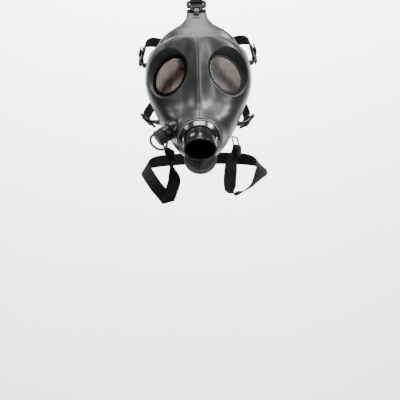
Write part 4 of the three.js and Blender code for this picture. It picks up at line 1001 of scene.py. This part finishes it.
# %% Floor
floor_front, floor_back, floor_drop, bend_radius, wall_height = -6000, 2300, 2800, 900, 5500
s = np.linspace(0, 1, 40)
bend = np.clip((s - 0.45) / 0.25, 0, 1) * math.pi / 2
floor_y = np.where(s < 0.45, floor_front + s / 0.45 * (floor_back - floor_front),
                   floor_back + bend_radius * np.sin(bend))
floor_z = np.where(s < 0.45, 0, bend_radius * (1 - np.cos(bend))) - floor_drop
floor_z = floor_z + np.clip((s - 0.7) / 0.3, 0, 1) * wall_height
wide = np.linspace(-6000, 6000, 3)
grid = np.stack(np.broadcast_arrays(wide[None], floor_y[:, None], floor_z[:, None]), -1)
floor = add_mesh("floor", grid, grid_faces(40, 3), closed=False)
paint, tree, shader, place = start_material("pale_paint")
patches = noise(tree, place, 1.2, 3.0, 0.5)
tree.links.new(ramp(tree, patches, [(0.3, 0.86), (0.7, 0.90)]), shader.inputs["Base Color"])
shader.inputs["Roughness"].default_value = 0.9
floor.data.materials.append(paint)


# %% Light
def lamp(name, place, target, size, power):
    data = bpy.data.lights.new(name, "AREA")
    data.shape = "RECTANGLE"
    data.size, data.size_y = size
    data.energy = power
    made = bpy.data.objects.new(name, data)
    made.location = place
    direction = np.array(target, float) - np.array(place, float)
    flat = math.hypot(direction[0], direction[1])
    turn = math.atan2(direction[1], direction[0]) - math.pi / 2
    made.rotation_euler = (math.atan2(flat, -direction[2]), 0, turn)
    bpy.context.scene.collection.objects.link(made)
    return made


lamp("top_lamp", (0, -0.68, 1.2), (0, -0.05, 0), (1.1, 0.8), 66)
lamp("high_lamp_right", (1.1, -0.5, 0.85), (0, -0.05, -0.05), (0.5, 0.5), 48)
lamp("high_lamp_left", (-1.25, -0.3, 0.72), (0, -0.05, -0.05), (0.3, 0.4), 13)
lamp("tall_lamp_left", (-0.6, -2.0, 0.4), (0, 0, -0.02), (0.2, 0.8), 6)
lamp("tall_lamp_right", (1.15, -1.65, 0.35), (0, 0, -0.02), (0.3, 1.2), 38)
lamp("streak_lamp_broad", (0.04, -0.02, 1.2), (0, -0.13, -0.1), (0.24, 0.4), 9)
lamp("streak_lamp_narrow", (-0.64, 0.35, 0.95), (0, -0.13, -0.1), (0.12, 0.4), 7)
lamp("back_lamp", (0, 1.6, 1.9), (0, 3.2, -0.4), (2.2, 0.7), 520)
world = bpy.data.worlds.new("studio")
world.use_nodes = True
world.node_tree.nodes["Background"].inputs["Color"].default_value = (1, 1, 1, 1)
world.node_tree.nodes["Background"].inputs["Strength"].default_value = 0.1
bpy.context.scene.world = world
